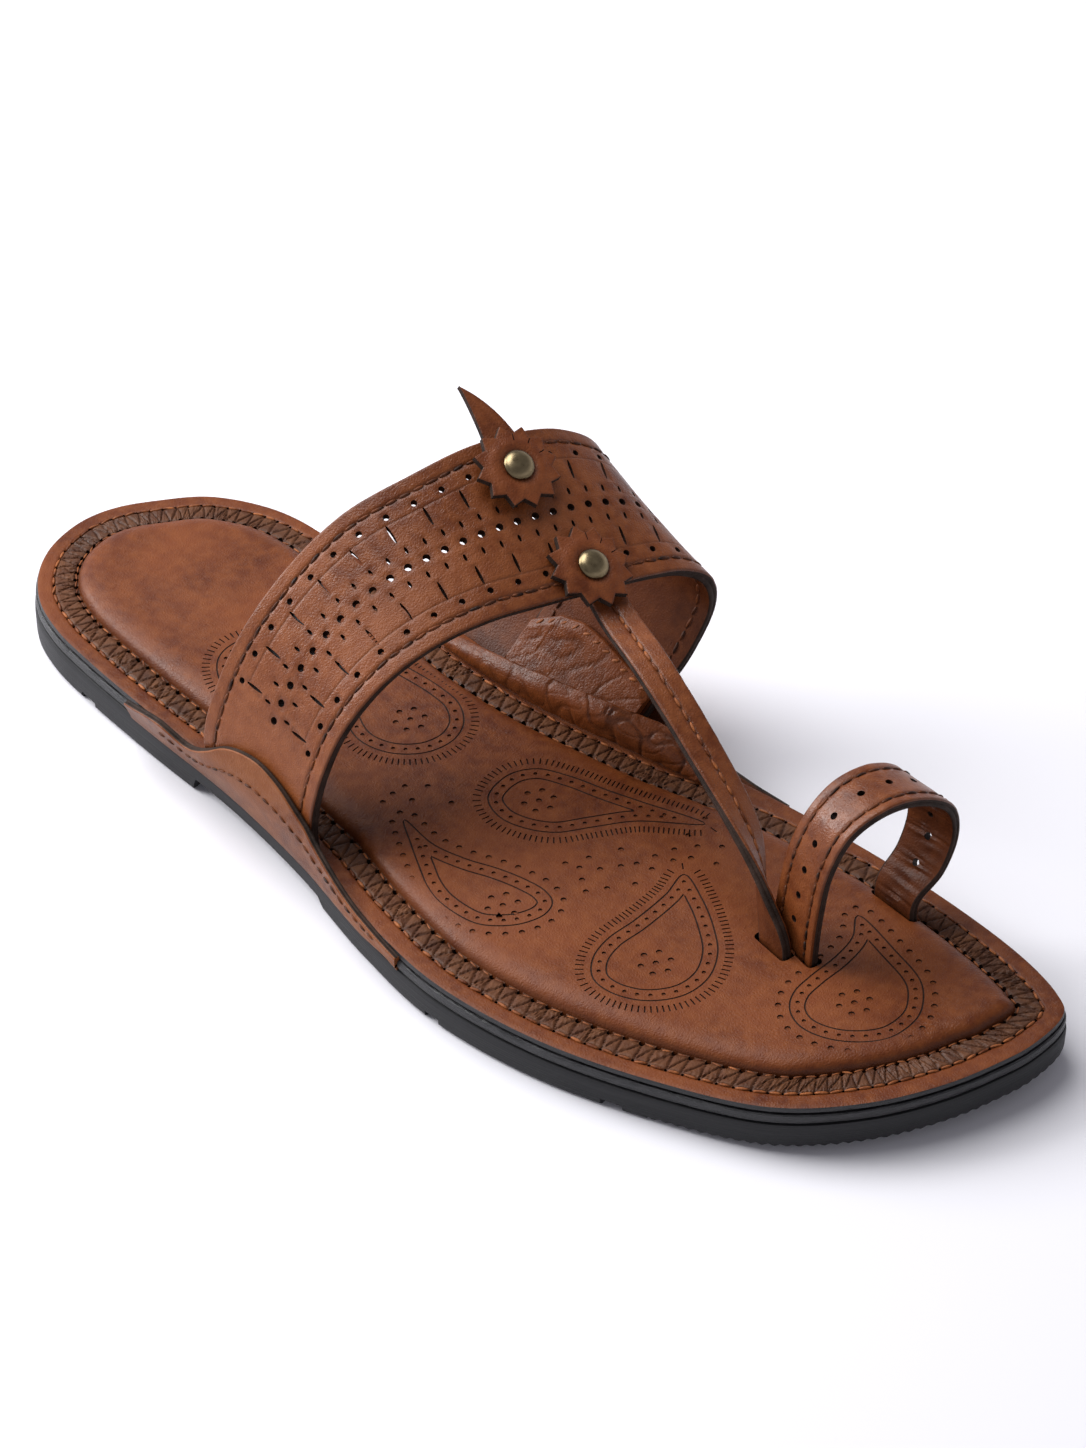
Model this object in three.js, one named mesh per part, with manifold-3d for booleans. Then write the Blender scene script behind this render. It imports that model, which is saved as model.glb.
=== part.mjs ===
// Kolhapuri sandal for the right foot: rubber outsole, board, padded leather footbed,
// two ear flaps, a punched instep band with a toe strap, a toe ring, two rosettes and a leaf.
// Millimetres. X runs from the heel to the toe, Y to the inner side of the foot, Z up.
import * as THREE from 'three';
import { mergeVertices } from 'three/addons/utils/BufferGeometryUtils.js';
import Module from 'manifold-3d';

const wasm = await Module();
wasm.setup();

// Driving sizes
const soleLength = 289.5;
const ballWidth = 100;
const clearance = 0.3;
const heelThickness = 8.7;
const foreThickness = 7.4;
const toeSpring = 3.6;
const archRise = 4.5;
const grooveDepth = 2.2;
const archLead = 2;
const archTrail = 4;
const ribPitch = 5.2;
const ribDepth = 1.2;
const ribWidth = 2;
const ribReach = 2.5;
const soleChamfer = 0.9;
const soleChamferRise = 1;
const cutOverrun = 1;
const boardThickness = 2.6;
const boardInset = 0.4;
const sheetThickness = 1.7;
const sheetInset = 0.9;
const rimWidth = 11.5;
const padRise = 3;
const padShoulder = 5;
const instepRise = 72.2;
const bandWall = 2.8;
const bandInset = 3.2;
const earWall = 1.8;
const earFoot = 9;
const lateralEarRise = 20;
const medialEarRise = 24;
const strapWall = 2.5;
const strapWidth = 9;
const strapSink = 0.5;
const ringWall = 2.4;
const ringRise = 40;
const middleHole = 2.4;
const middlePitch = 4.8;
const edgeHole = 1.9;
const edgePitch = 7.3;
const edgeHoleInset = 7;
const slitLength = 5.2;
const slitWidth = 0.9;
const slitPitch = 9.6;
const slitOffset = 9.6;
const rosetteDiameter = 21;
const rosetteWall = 2;
const rosettePoints = 12;
const leafLength = 23.6;
const leafWidth = 11;
const leafLean = 4.3;
const leafWall = 1.6;
const rivetDiameter = 7.6;
const rivetDome = 1.7;
const rivetShank = 2.8;
const rivetTail = 0.9;

// Outline of the sole from heel to toe: x as a share of the length,
// lateral and medial side as shares of the ball width.
const outlineTable = [
  { x: 0.0017, lateral: -0.07, medial: 0.01 },
  { x: 0.010, lateral: -0.16, medial: 0.09 },
  { x: 0.028, lateral: -0.24, medial: 0.175 },
  { x: 0.056, lateral: -0.307, medial: 0.275 },
  { x: 0.094, lateral: -0.35, medial: 0.34 },
  { x: 0.136, lateral: -0.372, medial: 0.373 },
  { x: 0.226, lateral: -0.40, medial: 0.368 },
  { x: 0.344, lateral: -0.426, medial: 0.349 },
  { x: 0.434, lateral: -0.468, medial: 0.349 },
  { x: 0.520, lateral: -0.53, medial: 0.379 },
  { x: 0.607, lateral: -0.568, medial: 0.416 },
  { x: 0.707, lateral: -0.54, medial: 0.445 },
  { x: 0.808, lateral: -0.448, medial: 0.454 },
  { x: 0.891, lateral: -0.335, medial: 0.434 },
  { x: 0.943, lateral: -0.185, medial: 0.403 },
  { x: 0.975, lateral: -0.03, medial: 0.368 },
  { x: 0.992, lateral: 0.105, medial: 0.335 },
  { x: 0.9985, lateral: 0.185, medial: 0.29 },
];

// Instep band from the lateral foot over the instep to the medial foot, its back and front edge.
// X is a share of the sole length, y of the ball width and up of the instep rise.
const bandTable = [
  { backX: 0.312, backY: -0.43, backUp: 0.217, frontX: 0.440, frontY: -0.445, frontUp: 0.18 },
  { backX: 0.3155, backY: -0.375, backUp: 0.453, frontX: 0.441, frontY: -0.415, frontUp: 0.346 },
  { backX: 0.322, backY: -0.29, backUp: 0.64, frontX: 0.4445, frontY: -0.35, frontUp: 0.506 },
  { backX: 0.331, backY: -0.165, backUp: 0.80, frontX: 0.454, frontY: -0.245, frontUp: 0.644 },
  { backX: 0.343, backY: -0.04, backUp: 0.91, frontX: 0.466, frontY: -0.115, frontUp: 0.717 },
  { backX: 0.3605, backY: 0.11, backUp: 0.972, frontX: 0.480, frontY: 0.02, frontUp: 0.74 },
  { backX: 0.374, backY: 0.26, backUp: 1, frontX: 0.4955, frontY: 0.16, frontUp: 0.724 },
  { backX: 0.388, backY: 0.40, backUp: 0.986, frontX: 0.5105, frontY: 0.30, frontUp: 0.70 },
  { backX: 0.3985, backY: 0.50, backUp: 0.938, frontX: 0.5235, frontY: 0.42, frontUp: 0.679 },
  { backX: 0.409, backY: 0.58, backUp: 0.848, frontX: 0.534, frontY: 0.515, frontUp: 0.644 },
  { backX: 0.414, backY: 0.61, backUp: 0.716, frontX: 0.5425, frontY: 0.58, frontUp: 0.575 },
  { backX: 0.411, backY: 0.58, backUp: 0.508, frontX: 0.544, frontY: 0.60, frontUp: 0.457 },
  { backX: 0.402, backY: 0.49, backUp: 0.273, frontX: 0.5405, frontY: 0.545, frontUp: 0.298 },
  { backX: 0.397, backY: 0.42, backUp: 0.134, frontX: 0.534, frontY: 0.465, frontUp: 0.166 },
];
const bandFeet = { backLateral: 0.312, frontLateral: 0.440, backMedial: 0.393, frontMedial: 0.527 };

// Ear flaps: x as a share of the sole length, rise as a share of the ear's own rise.
const lateralEarTable = [
  { x: 0.208, rise: 0.36 },
  { x: 0.256, rise: 0.55 },
  { x: 0.291, rise: 0.50 },
  { x: 0.319, rise: 0.70 },
  { x: 0.343, rise: 0.92 },
  { x: 0.374, rise: 1 },
  { x: 0.402, rise: 0.92 },
  { x: 0.430, rise: 0.74 },
  { x: 0.458, rise: 0.54 },
  { x: 0.503, rise: 0.32 },
  { x: 0.537, rise: 0.24 },
  { x: 0.568, rise: 0.20 },
];
const medialEarTable = [
  { x: 0.300, rise: 0.30 },
  { x: 0.347, rise: 0.52 },
  { x: 0.395, rise: 0.86 },
  { x: 0.440, rise: 0.95 },
  { x: 0.500, rise: 0.74 },
  { x: 0.545, rise: 0.46 },
  { x: 0.590, rise: 0.24 },
  { x: 0.630, rise: 0.17 },
  { x: 0.672, rise: 0.14 },
];

// Toe strap: x, y and up as above, turn in degrees of its lateral edge from sideways to forward.
const strapStart = { along: 0.537, across: 0.72 };
const strapTable = [
  { x: 0.534, y: 0.288, up: 0.65, turn: -13 },
  { x: 0.589, y: 0.225, up: 0.64, turn: -12 },
  { x: 0.6585, y: 0.168, up: 0.53, turn: 0 },
  { x: 0.728, y: 0.108, up: 0.38, turn: 28 },
  { x: 0.7645, y: 0.058, up: 0.23, turn: 60 },
  { x: 0.7825, y: 0.034, up: 0.125, turn: 80 },
];

// Toe ring: x and y as above, up as a share of the ring's rise over the footbed.
const ringTable = [
  { backX: 0.7695, backY: 0.082, frontX: 0.8185, frontY: 0.05, backUp: 0.07, frontUp: 0.09 },
  { backX: 0.772, backY: 0.087, frontX: 0.820, frontY: 0.055, backUp: 0.38, frontUp: 0.41 },
  { backX: 0.775, backY: 0.105, frontX: 0.822, frontY: 0.07, backUp: 0.67, frontUp: 0.67 },
  { backX: 0.78, backY: 0.145, frontX: 0.8285, frontY: 0.11, backUp: 0.88, frontUp: 0.915 },
  { backX: 0.7835, backY: 0.21, frontX: 0.8355, frontY: 0.18, backUp: 0.975, frontUp: 1 },
  { backX: 0.79, backY: 0.285, frontX: 0.8425, frontY: 0.27, backUp: 0.985, frontUp: 0.975 },
  { backX: 0.797, backY: 0.36, frontX: 0.849, frontY: 0.35, backUp: 0.89, frontUp: 0.867 },
  { backX: 0.8025, backY: 0.40, frontX: 0.8505, frontY: 0.405, backUp: 0.72, frontUp: 0.70 },
  { backX: 0.804, backY: 0.42, frontX: 0.8505, frontY: 0.42, backUp: 0.50, frontUp: 0.48 },
  { backX: 0.804, backY: 0.39, frontX: 0.849, frontY: 0.385, backUp: 0.28, frontUp: 0.26 },
  { backX: 0.8005, backY: 0.34, frontX: 0.843, frontY: 0.325, backUp: 0.10, frontUp: 0.10 },
];

// Places along the sole as shares of its length
const spineEnds = { heel: 0.12, toe: 0.87 };
const springStart = 0.763;
const ribStart = 0.8;
const heelEnd = 0.281;
const ballStart = 0.468;
const archFall = 0.7;
const crossGrooves = [
  { from: 0.1335, to: 0.1525 },
  { from: 0.602, to: 0.617 },
  { from: 0.7645, to: 0.782 },
];

// Steps that the curved forms are made with
const outlineSteps = 240;
const bandSteps = 36;
const ringSteps = 36;
const strapSteps = 22;
const earSteps = 18;
const acrossSteps = 2;

// Manifold solid of a closed geometry
function solidOf(geometry) {
  const bare = geometry.clone();
  bare.deleteAttribute('normal');
  bare.deleteAttribute('uv');
  const merged = mergeVertices(bare, 1e-5);
  return new wasm.Manifold(new wasm.Mesh({
    numProp: 3,
    vertProperties: new Float32Array(merged.attributes.position.array),
    triVerts: new Uint32Array(merged.index.array),
  }));
}

function geometryOf(solid) {
  const mesh = solid.getMesh();
  const geometry = new THREE.BufferGeometry();
  geometry.setAttribute('position', new THREE.BufferAttribute(new Float32Array(mesh.vertProperties), 3));
  geometry.setIndex(new THREE.BufferAttribute(new Uint32Array(mesh.triVerts), 1));
  geometry.computeVertexNormals();
  return geometry;
}

function indexed(points, triangles) {
  const geometry = new THREE.BufferGeometry().setFromPoints(points);
  geometry.setIndex(triangles);
  geometry.computeVertexNormals();
  return geometry;
}

// Closed solid through rings of equal point counts, each end closed by a ladder of quads
// between the two halves of its ring.
function ringLoft(rings) {
  const count = rings[0].length;
  const triangles = [];
  for (let k = 0; k + 1 < rings.length; k += 1) {
    for (let i = 0; i < count; i += 1) {
      const a = k * count + i;
      const b = k * count + (i + 1) % count;
      triangles.push(a, b, b + count, a, b + count, a + count);
    }
  }
  const last = (rings.length - 1) * count;
  for (let i = 0; i + 1 < count / 2; i += 1) {
    const j = count - 1 - i;
    triangles.push(i, j, j - 1, i, j - 1, i + 1);
    triangles.push(last + i, last + j - 1, last + j, last + i, last + i + 1, last + j - 1);
  }
  return indexed(rings.flat(), triangles);
}

// Closed wall around a grid of points: half of the thickness on each side of it.
// Grow pushes every face and rim outwards, for the room that a neighbour leaves.
function wallOf(grid, thickness, grow = 0) {
  const rows = grid.map((row) => row.map((point) => point.clone()));
  const push = (end, next) => end.addScaledVector(end.clone().sub(next).normalize(), grow);
  const lastRow = rows.length - 1;
  const lastColumn = rows[0].length - 1;
  rows.forEach((row) => {
    push(row[0], row[1]);
    push(row[lastColumn], row[lastColumn - 1]);
  });
  for (let j = 0; j <= lastColumn; j += 1) {
    push(rows[0][j], rows[1][j]);
    push(rows[lastRow][j], rows[lastRow - 1][j]);
  }
  const front = [];
  const back = [];
  for (let i = 0; i <= lastRow; i += 1) {
    for (let j = 0; j <= lastColumn; j += 1) {
      const along = rows[Math.min(i + 1, lastRow)][j].clone().sub(rows[Math.max(i - 1, 0)][j]);
      const across = rows[i][Math.min(j + 1, lastColumn)].clone().sub(rows[i][Math.max(j - 1, 0)]);
      const normal = along.cross(across).normalize().multiplyScalar(thickness / 2 + grow);
      front.push(rows[i][j].clone().add(normal));
      back.push(rows[i][j].clone().sub(normal));
    }
  }
  const width = lastColumn + 1;
  const half = front.length;
  const triangles = [];
  for (let i = 0; i < lastRow; i += 1) {
    for (let j = 0; j < lastColumn; j += 1) {
      const a = i * width + j;
      triangles.push(a, a + width, a + width + 1, a, a + width + 1, a + 1);
      const b = half + a;
      triangles.push(b, b + width + 1, b + width, b, b + 1, b + width + 1);
    }
  }
  const rim = [];
  for (let j = 0; j < lastColumn; j += 1) rim.push(j);
  for (let i = 0; i < lastRow; i += 1) rim.push(i * width + lastColumn);
  for (let j = lastColumn; j > 0; j -= 1) rim.push(lastRow * width + j);
  for (let i = lastRow; i > 0; i -= 1) rim.push(i * width);
  rim.forEach((a, k) => {
    const b = rim[(k + 1) % rim.length];
    triangles.push(a, b, half + b, a, half + b, half + a);
  });
  return indexed([...front, ...back], triangles);
}

// Sole outline: both sides at the same x, from heel to toe
const outlineCurve = new THREE.CatmullRomCurve3(outlineTable.map((row) => new THREE.Vector3(
  row.x * soleLength,
  row.lateral * ballWidth,
  row.medial * ballWidth,
)), false, 'centripetal');
const outlineSamples = outlineCurve.getPoints(outlineSteps);

function sideAt(x, side) {
  const axis = side === 'lateral' ? 'y' : 'z';
  const next = outlineSamples.findIndex((sample) => sample.x >= x);
  if (next === -1) return outlineSamples.at(-1)[axis];
  if (next === 0) return outlineSamples[0][axis];
  const low = outlineSamples[next - 1];
  const high = outlineSamples[next];
  return THREE.MathUtils.lerp(low[axis], high[axis], (x - low.x) / (high.x - low.x));
}

function springAt(x) {
  const run = Math.max(0, x / soleLength - springStart) / (1 - springStart);
  return toeSpring * run * run;
}

function outsoleTop(x) {
  const blend = THREE.MathUtils.smoothstep(x, heelEnd * soleLength, ballStart * soleLength);
  return THREE.MathUtils.lerp(heelThickness, foreThickness, blend) + springAt(x);
}

const boardBottom = (x) => outsoleTop(x) + clearance;
const boardTop = (x) => boardBottom(x) + boardThickness;
const sheetBottom = (x) => boardTop(x) + clearance;
const sheetTop = (x) => sheetBottom(x) + sheetThickness;

// Ring of the outline drawn in by an inset towards the middle line of the sole
const stationCount = 32;
function outlineRing(inset, height) {
  const lateral = [];
  const medial = [];
  for (let i = 0; i < stationCount; i += 1) {
    const row = outlineCurve.getPoint(i / (stationCount - 1));
    lateral.push(new THREE.Vector2(row.x, row.y));
    medial.unshift(new THREE.Vector2(row.x, row.z));
  }
  return [...lateral, ...medial].map((point) => {
    const spineX = THREE.MathUtils.clamp(point.x, soleLength * spineEnds.heel, soleLength * spineEnds.toe);
    const spineY = (sideAt(spineX, 'lateral') + sideAt(spineX, 'medial')) / 2;
    const inward = new THREE.Vector2(spineX, spineY).sub(point).normalize();
    const moved = point.clone().addScaledVector(inward, inset);
    return new THREE.Vector3(moved.x, moved.y, height(moved.x));
  });
}

// Prism of a side profile in x and z, reaching across the whole sole
function crossPrism(profile) {
  const shape = new THREE.Shape(profile.map(([x, z]) => new THREE.Vector2(x, z)));
  const prism = new THREE.ExtrudeGeometry(shape, { depth: 2 * ballWidth, bevelEnabled: false });
  return prism.rotateX(Math.PI / 2).translate(0, ballWidth, 0);
}

// Point of the instep band's middle surface. Along runs from the lateral to the medial foot and
// across from the back to the front edge; outside 0 to 1 the surface follows the sole's outline.
function footPoint(side, across) {
  const back = side === 'lateral' ? bandFeet.backLateral : bandFeet.backMedial;
  const front = side === 'lateral' ? bandFeet.frontLateral : bandFeet.frontMedial;
  const x = THREE.MathUtils.lerp(back, front, across) * soleLength;
  const inward = side === 'lateral' ? bandInset : -bandInset;
  return new THREE.Vector3(x, sideAt(x, side) + inward, outsoleTop(x) + clearance);
}

function bandEdge(edge, across) {
  const points = bandTable.map((row) => {
    const x = row[`${edge}X`] * soleLength;
    const height = outsoleTop(x) + row[`${edge}Up`] * instepRise;
    return new THREE.Vector3(x, row[`${edge}Y`] * ballWidth, height);
  });
  return new THREE.CatmullRomCurve3(
    [footPoint('lateral', across), ...points, footPoint('medial', across)],
    false,
    'centripetal',
  );
}
const backEdge = bandEdge('back', 0);
const frontEdge = bandEdge('front', 1);
const footFade = { from: 0.12, to: 0.3 };

function bandPoint(along, across) {
  const inside = THREE.MathUtils.clamp(across, 0, 1);
  const point = backEdge.getPoint(along).lerp(frontEdge.getPoint(along), inside);
  const side = along < 0.5 ? 'lateral' : 'medial';
  const chord = footPoint(side, 0).lerp(footPoint(side, 1), inside);
  const fade = 1 - THREE.MathUtils.smoothstep(Math.min(along, 1 - along), footFade.from, footFade.to);
  return point.addScaledVector(footPoint(side, across).sub(chord), fade);
}

function bandFrame(along, across) {
  const step = 0.004;
  const run = bandPoint(along + step, across).sub(bandPoint(along - step, across)).normalize();
  const forward = bandPoint(along, across + step).sub(bandPoint(along, across - step));
  const normal = forward.clone().cross(run).normalize();
  return { point: bandPoint(along, across), run, normal, forward: run.clone().cross(normal) };
}

function bandGrid() {
  const grid = [];
  for (let i = 0; i <= bandSteps; i += 1) {
    const row = [];
    for (let j = 0; j <= acrossSteps; j += 1) row.push(bandPoint(i / bandSteps, j / acrossSteps));
    grid.push(row);
  }
  return grid;
}

// Places along the band at a regular pitch, measured on the surface at the given place across
function pitchPlaces(across, pitch, first, last) {
  const places = [];
  const steps = 600;
  let travelled = 0;
  let previous = bandPoint(first, across);
  let due = pitch / 2;
  for (let i = 1; i <= steps; i += 1) {
    const along = THREE.MathUtils.lerp(first, last, i / steps);
    const point = bandPoint(along, across);
    travelled += point.distanceTo(previous);
    previous = point;
    if (travelled >= due) {
      places.push(along);
      due += pitch;
    }
  }
  return places;
}

function placeOnBand(geometry, along, across, lift = 0) {
  const frame = bandFrame(along, across);
  const turn = new THREE.Matrix4().makeBasis(frame.forward, frame.run, frame.normal);
  const place = frame.point.addScaledVector(frame.normal, lift);
  return geometry.applyMatrix4(turn.setPosition(place));
}

// Punched pattern: a hole row in the middle, one near each edge, and two rows of long slits
const bandWidth = backEdge.getPoint(0.5).distanceTo(frontEdge.getPoint(0.5));
const patternEnds = { first: 0.13, last: 0.86 };
const cutterDepth = 4 * bandWall;

function holeCutter(diameter, sides) {
  const cutter = new THREE.CylinderGeometry(diameter / 2, diameter / 2, cutterDepth, sides);
  return cutter.rotateX(Math.PI / 2);
}

function punch(cutter, across, pitch) {
  return pitchPlaces(across, pitch, patternEnds.first, patternEnds.last)
    .map((along) => solidOf(placeOnBand(cutter(), along, across)));
}

const slitCutter = () => new THREE.BoxGeometry(slitLength, slitWidth, cutterDepth);
const punched = [
  ...punch(() => holeCutter(middleHole, 6), 0.5, middlePitch),
  ...punch(() => holeCutter(edgeHole, 6), edgeHoleInset / bandWidth, edgePitch),
  ...punch(() => holeCutter(edgeHole, 6), 1 - edgeHoleInset / bandWidth, edgePitch),
  ...punch(slitCutter, 0.5 - slitOffset / bandWidth, slitPitch),
  ...punch(slitCutter, 0.5 + slitOffset / bandWidth, slitPitch),
];

// Toe strap: a flat strap that turns on edge where it enters the footbed
function strapGrid() {
  const onBand = [strapStart.across, 1].map((across) => {
    const frame = bandFrame(strapStart.along, across);
    return { point: frame.point.addScaledVector(frame.normal, -strapSink), edge: frame.run.negate() };
  });
  const free = strapTable.map((row) => {
    const x = row.x * soleLength;
    const height = outsoleTop(x) + row.up * instepRise;
    const angle = THREE.MathUtils.degToRad(row.turn);
    return {
      point: new THREE.Vector3(x, row.y * ballWidth, height),
      edge: new THREE.Vector3(Math.sin(angle), -Math.cos(angle), 0),
    };
  });
  const tail = free.at(-1).point.clone();
  tail.z = boardTop(tail.x) + clearance;
  const rows = [...onBand, ...free, { point: tail, edge: free.at(-1).edge }];
  const curve = new THREE.CatmullRomCurve3(rows.map((row) => row.point), false, 'centripetal');
  const grid = [];
  for (let i = 0; i <= strapSteps; i += 1) {
    const share = i / strapSteps;
    const place = share * (rows.length - 1);
    const low = Math.min(Math.floor(place), rows.length - 2);
    const tangent = curve.getTangent(share);
    const edge = rows[low].edge.clone().lerp(rows[low + 1].edge, place - low);
    edge.addScaledVector(tangent, -edge.dot(tangent)).normalize();
    const centre = curve.getPoint(share);
    grid.push([-0.5, 0, 0.5].map((part) => centre.clone().addScaledVector(edge, part * strapWidth)));
  }
  return grid;
}

function ringGrid() {
  const edge = (name) => {
    const points = ringTable.map((row) => {
      const x = row[`${name}X`] * soleLength;
      const base = sheetTop(x) + padRise;
      return new THREE.Vector3(x, row[`${name}Y`] * ballWidth, base + row[`${name}Up`] * ringRise);
    });
    const first = points[0].clone();
    const last = points.at(-1).clone();
    first.z = boardTop(first.x) + clearance;
    last.z = boardTop(last.x) + clearance;
    return new THREE.CatmullRomCurve3([first, ...points, last], false, 'centripetal');
  };
  const back = edge('back');
  const front = edge('front');
  const grid = [];
  for (let i = 0; i <= ringSteps; i += 1) {
    const share = i / ringSteps;
    const row = [];
    for (let j = 0; j <= acrossSteps; j += 1) {
      row.push(back.getPoint(share).lerp(front.getPoint(share), j / acrossSteps));
    }
    grid.push(row);
  }
  return grid;
}

// Ear flap: a foot under the board, a bend round its edge, and a wing outside the band. The bend's
// places are shares of the wall: how far in the foot ends and turns, how high it turns and starts up.
const earBend = { footEnd: 1.2, turn: 0.35, turnRise: 0.3, wingStart: 0.6 };
const wingSteps = 4;
function earGrid(side, table, rise) {
  const top = new THREE.CatmullRomCurve3(
    table.map((row) => new THREE.Vector3(row.x * soleLength, row.rise * rise, 0)),
    false,
    'centripetal',
  );
  const back = side === 'lateral' ? bandFeet.backLateral : bandFeet.backMedial;
  const front = side === 'lateral' ? bandFeet.frontLateral : bandFeet.frontMedial;
  const outward = side === 'lateral' ? -1 : 1;
  const offset = (bandWall + earWall) / 2 + clearance;
  const grid = [];
  for (let i = 0; i <= earSteps; i += 1) {
    const { x, y: height } = top.getPoint(i / earSteps);
    const across = (x / soleLength - back) / (front - back);
    const foot = footPoint(side, across);
    const sole = outsoleTop(x) - clearance / 2 - earWall / 2;
    const edge = foot.y + outward * offset;
    const row = [
      new THREE.Vector3(x, edge - outward * earFoot, sole),
      new THREE.Vector3(x, edge - outward * earWall * earBend.footEnd, sole),
      new THREE.Vector3(x, edge - outward * earWall * earBend.turn, sole + earWall * earBend.turnRise),
    ];
    const start = earWall * earBend.wingStart;
    for (let j = 0; j <= wingSteps; j += 1) {
      const target = foot.z + start + (height - start) * (j / wingSteps);
      let low = 0;
      let high = 0.4;
      for (let k = 0; k < 30; k += 1) {
        const middle = (low + high) / 2;
        const along = side === 'lateral' ? middle : 1 - middle;
        if (bandPoint(along, across).z < target) low = middle;
        else high = middle;
      }
      const along = side === 'lateral' ? low : 1 - low;
      const step = side === 'lateral' ? 0.01 : -0.01;
      const here = bandPoint(along, across);
      const run = bandPoint(along + step, across).sub(here).normalize();
      row.push(here.add(new THREE.Vector3(0, outward * run.z, -outward * run.y).multiplyScalar(offset)));
    }
    grid.push(row);
  }
  return grid;
}

// Star-cut rosette, leaf and rivet, each lying flat on its own z = 0. The valley is a share of the
// rosette's radius, and the leaf's and the rivet's numbers are shares of their own sizes.
const rosetteValley = 0.8;
function rosette() {
  const shape = new THREE.Shape();
  for (let i = 0; i < 2 * rosettePoints; i += 1) {
    const radius = (rosetteDiameter / 2) * (i % 2 === 0 ? 1 : rosetteValley);
    const angle = (i * Math.PI) / rosettePoints;
    if (i === 0) shape.moveTo(radius, 0);
    else shape.lineTo(radius * Math.cos(angle), radius * Math.sin(angle));
  }
  shape.closePath();
  shape.holes.push(new THREE.Path().absarc(0, 0, rivetShank / 2 + clearance, 0, 2 * Math.PI, true));
  return new THREE.ExtrudeGeometry(shape, { depth: rosetteWall, bevelEnabled: false, curveSegments: 4 });
}

function leaf() {
  const shape = new THREE.Shape();
  shape.moveTo(leafWidth * 0.3, leafWidth * 0.5);
  shape.quadraticCurveTo(-leafLength * 0.6, leafWidth * 0.5, -leafLength, -leafLean);
  shape.quadraticCurveTo(-leafLength * 0.45, -leafWidth * 0.3, leafWidth * 0.3, -leafWidth * 0.5);
  shape.closePath();
  shape.holes.push(new THREE.Path().absarc(0, 0, rivetShank / 2 + clearance, 0, 2 * Math.PI, true));
  return new THREE.ExtrudeGeometry(shape, { depth: leafWall, bevelEnabled: false, curveSegments: 6 });
}

function rivet(stack) {
  const bottom = -bandWall - clearance - strapSink;
  const head = rivetDiameter / 2;
  const top = stack + clearance;
  const profile = [
    [0, bottom - rivetTail],
    [head * 0.8, bottom - rivetTail],
    [head * 0.8, bottom],
    [rivetShank / 2, bottom],
    [rivetShank / 2, top],
    [head, top],
    [head, top + rivetDome * 0.3],
    [head * 0.8, top + rivetDome * 0.75],
    [head * 0.42, top + rivetDome * 0.96],
    [0, top + rivetDome],
  ];
  const lathe = new THREE.LatheGeometry(profile.map(([r, z]) => new THREE.Vector2(r, z)), 12);
  return lathe.rotateX(Math.PI / 2);
}

// Leather, rubber and brass
const leather = { color: '#8b4f30', roughness: 0.5, metalness: 0 };
const darkLeather = { color: '#7a4428', roughness: 0.55, metalness: 0 };
const rubber = { color: '#3a3a3d', roughness: 0.75, metalness: 0 };
const board = { color: '#2e2c2d', roughness: 0.45, metalness: 0 };
const brass = { color: '#a08a5c', roughness: 0.35, metalness: 1 };

const group = new THREE.Group();

function add(name, geometry, finish) {
  const mesh = new THREE.Mesh(geometry, new THREE.MeshStandardMaterial(finish));
  mesh.name = name;
  group.add(mesh);
  return mesh;
}

// Solids that others are cut by
const bandRoom = solidOf(wallOf(bandGrid(), bandWall, clearance));
const lateralEarGrid = earGrid('lateral', lateralEarTable, lateralEarRise);
const medialEarGrid = earGrid('medial', medialEarTable, medialEarRise);
const lateralEarRoom = solidOf(wallOf(lateralEarGrid, earWall, clearance));
const medialEarRoom = solidOf(wallOf(medialEarGrid, earWall, clearance));
const strapRoom = solidOf(wallOf(strapGrid(), strapWall, clearance));
const ringRoom = solidOf(wallOf(ringGrid(), ringWall, clearance));

function outsole() {
  let solid = solidOf(ringLoft([
    outlineRing(soleChamfer, springAt),
    outlineRing(0, (x) => springAt(x) + soleChamferRise),
    outlineRing(0, outsoleTop),
  ]));
  const heel = heelEnd * soleLength;
  const ball = ballStart * soleLength;
  const below = -cutOverrun;
  solid = solid.subtract(solidOf(crossPrism([
    [heel, below],
    [heel + archLead, archRise],
    [ball - archTrail, archRise * archFall],
    [ball, below],
  ])));
  crossGrooves.forEach((groove) => {
    const from = groove.from * soleLength;
    const to = groove.to * soleLength;
    const depth = grooveDepth + springAt(to);
    solid = solid.subtract(solidOf(crossPrism([[from, below], [from, depth], [to, depth], [to, below]])));
  });
  return solid.subtract(lateralEarRoom).subtract(medialEarRoom);
}

// Short ribs along the lower rim of the toe
function toeRibs(solid) {
  const rim = outlineRing(0, () => 0);
  let travelled = 0;
  let due = ribPitch;
  let ribbed = solid;
  for (let i = 1; i < rim.length; i += 1) {
    const from = rim[i - 1];
    const to = rim[i];
    const span = from.distanceTo(to);
    if (from.x > ribStart * soleLength) {
      while (travelled + span > due) {
        const point = from.clone().lerp(to, (due - travelled) / span);
        const cut = new THREE.BoxGeometry(ribWidth, 2 * ribReach, 2 * ribDepth);
        cut.rotateZ(Math.atan2(to.y - from.y, to.x - from.x));
        cut.translate(point.x, point.y, springAt(point.x));
        ribbed = ribbed.subtract(solidOf(cut));
        due += ribPitch;
      }
    } else {
      due = travelled + span + ribPitch;
    }
    travelled += span;
  }
  return ribbed;
}

add('outsole', geometryOf(toeRibs(outsole())), rubber);

const midsoleSlab = solidOf(ringLoft([
  outlineRing(boardInset, boardBottom),
  outlineRing(boardInset, boardTop),
]));
add('midsole', geometryOf(midsoleSlab
  .subtract(bandRoom)
  .subtract(lateralEarRoom)
  .subtract(medialEarRoom)), board);

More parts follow.
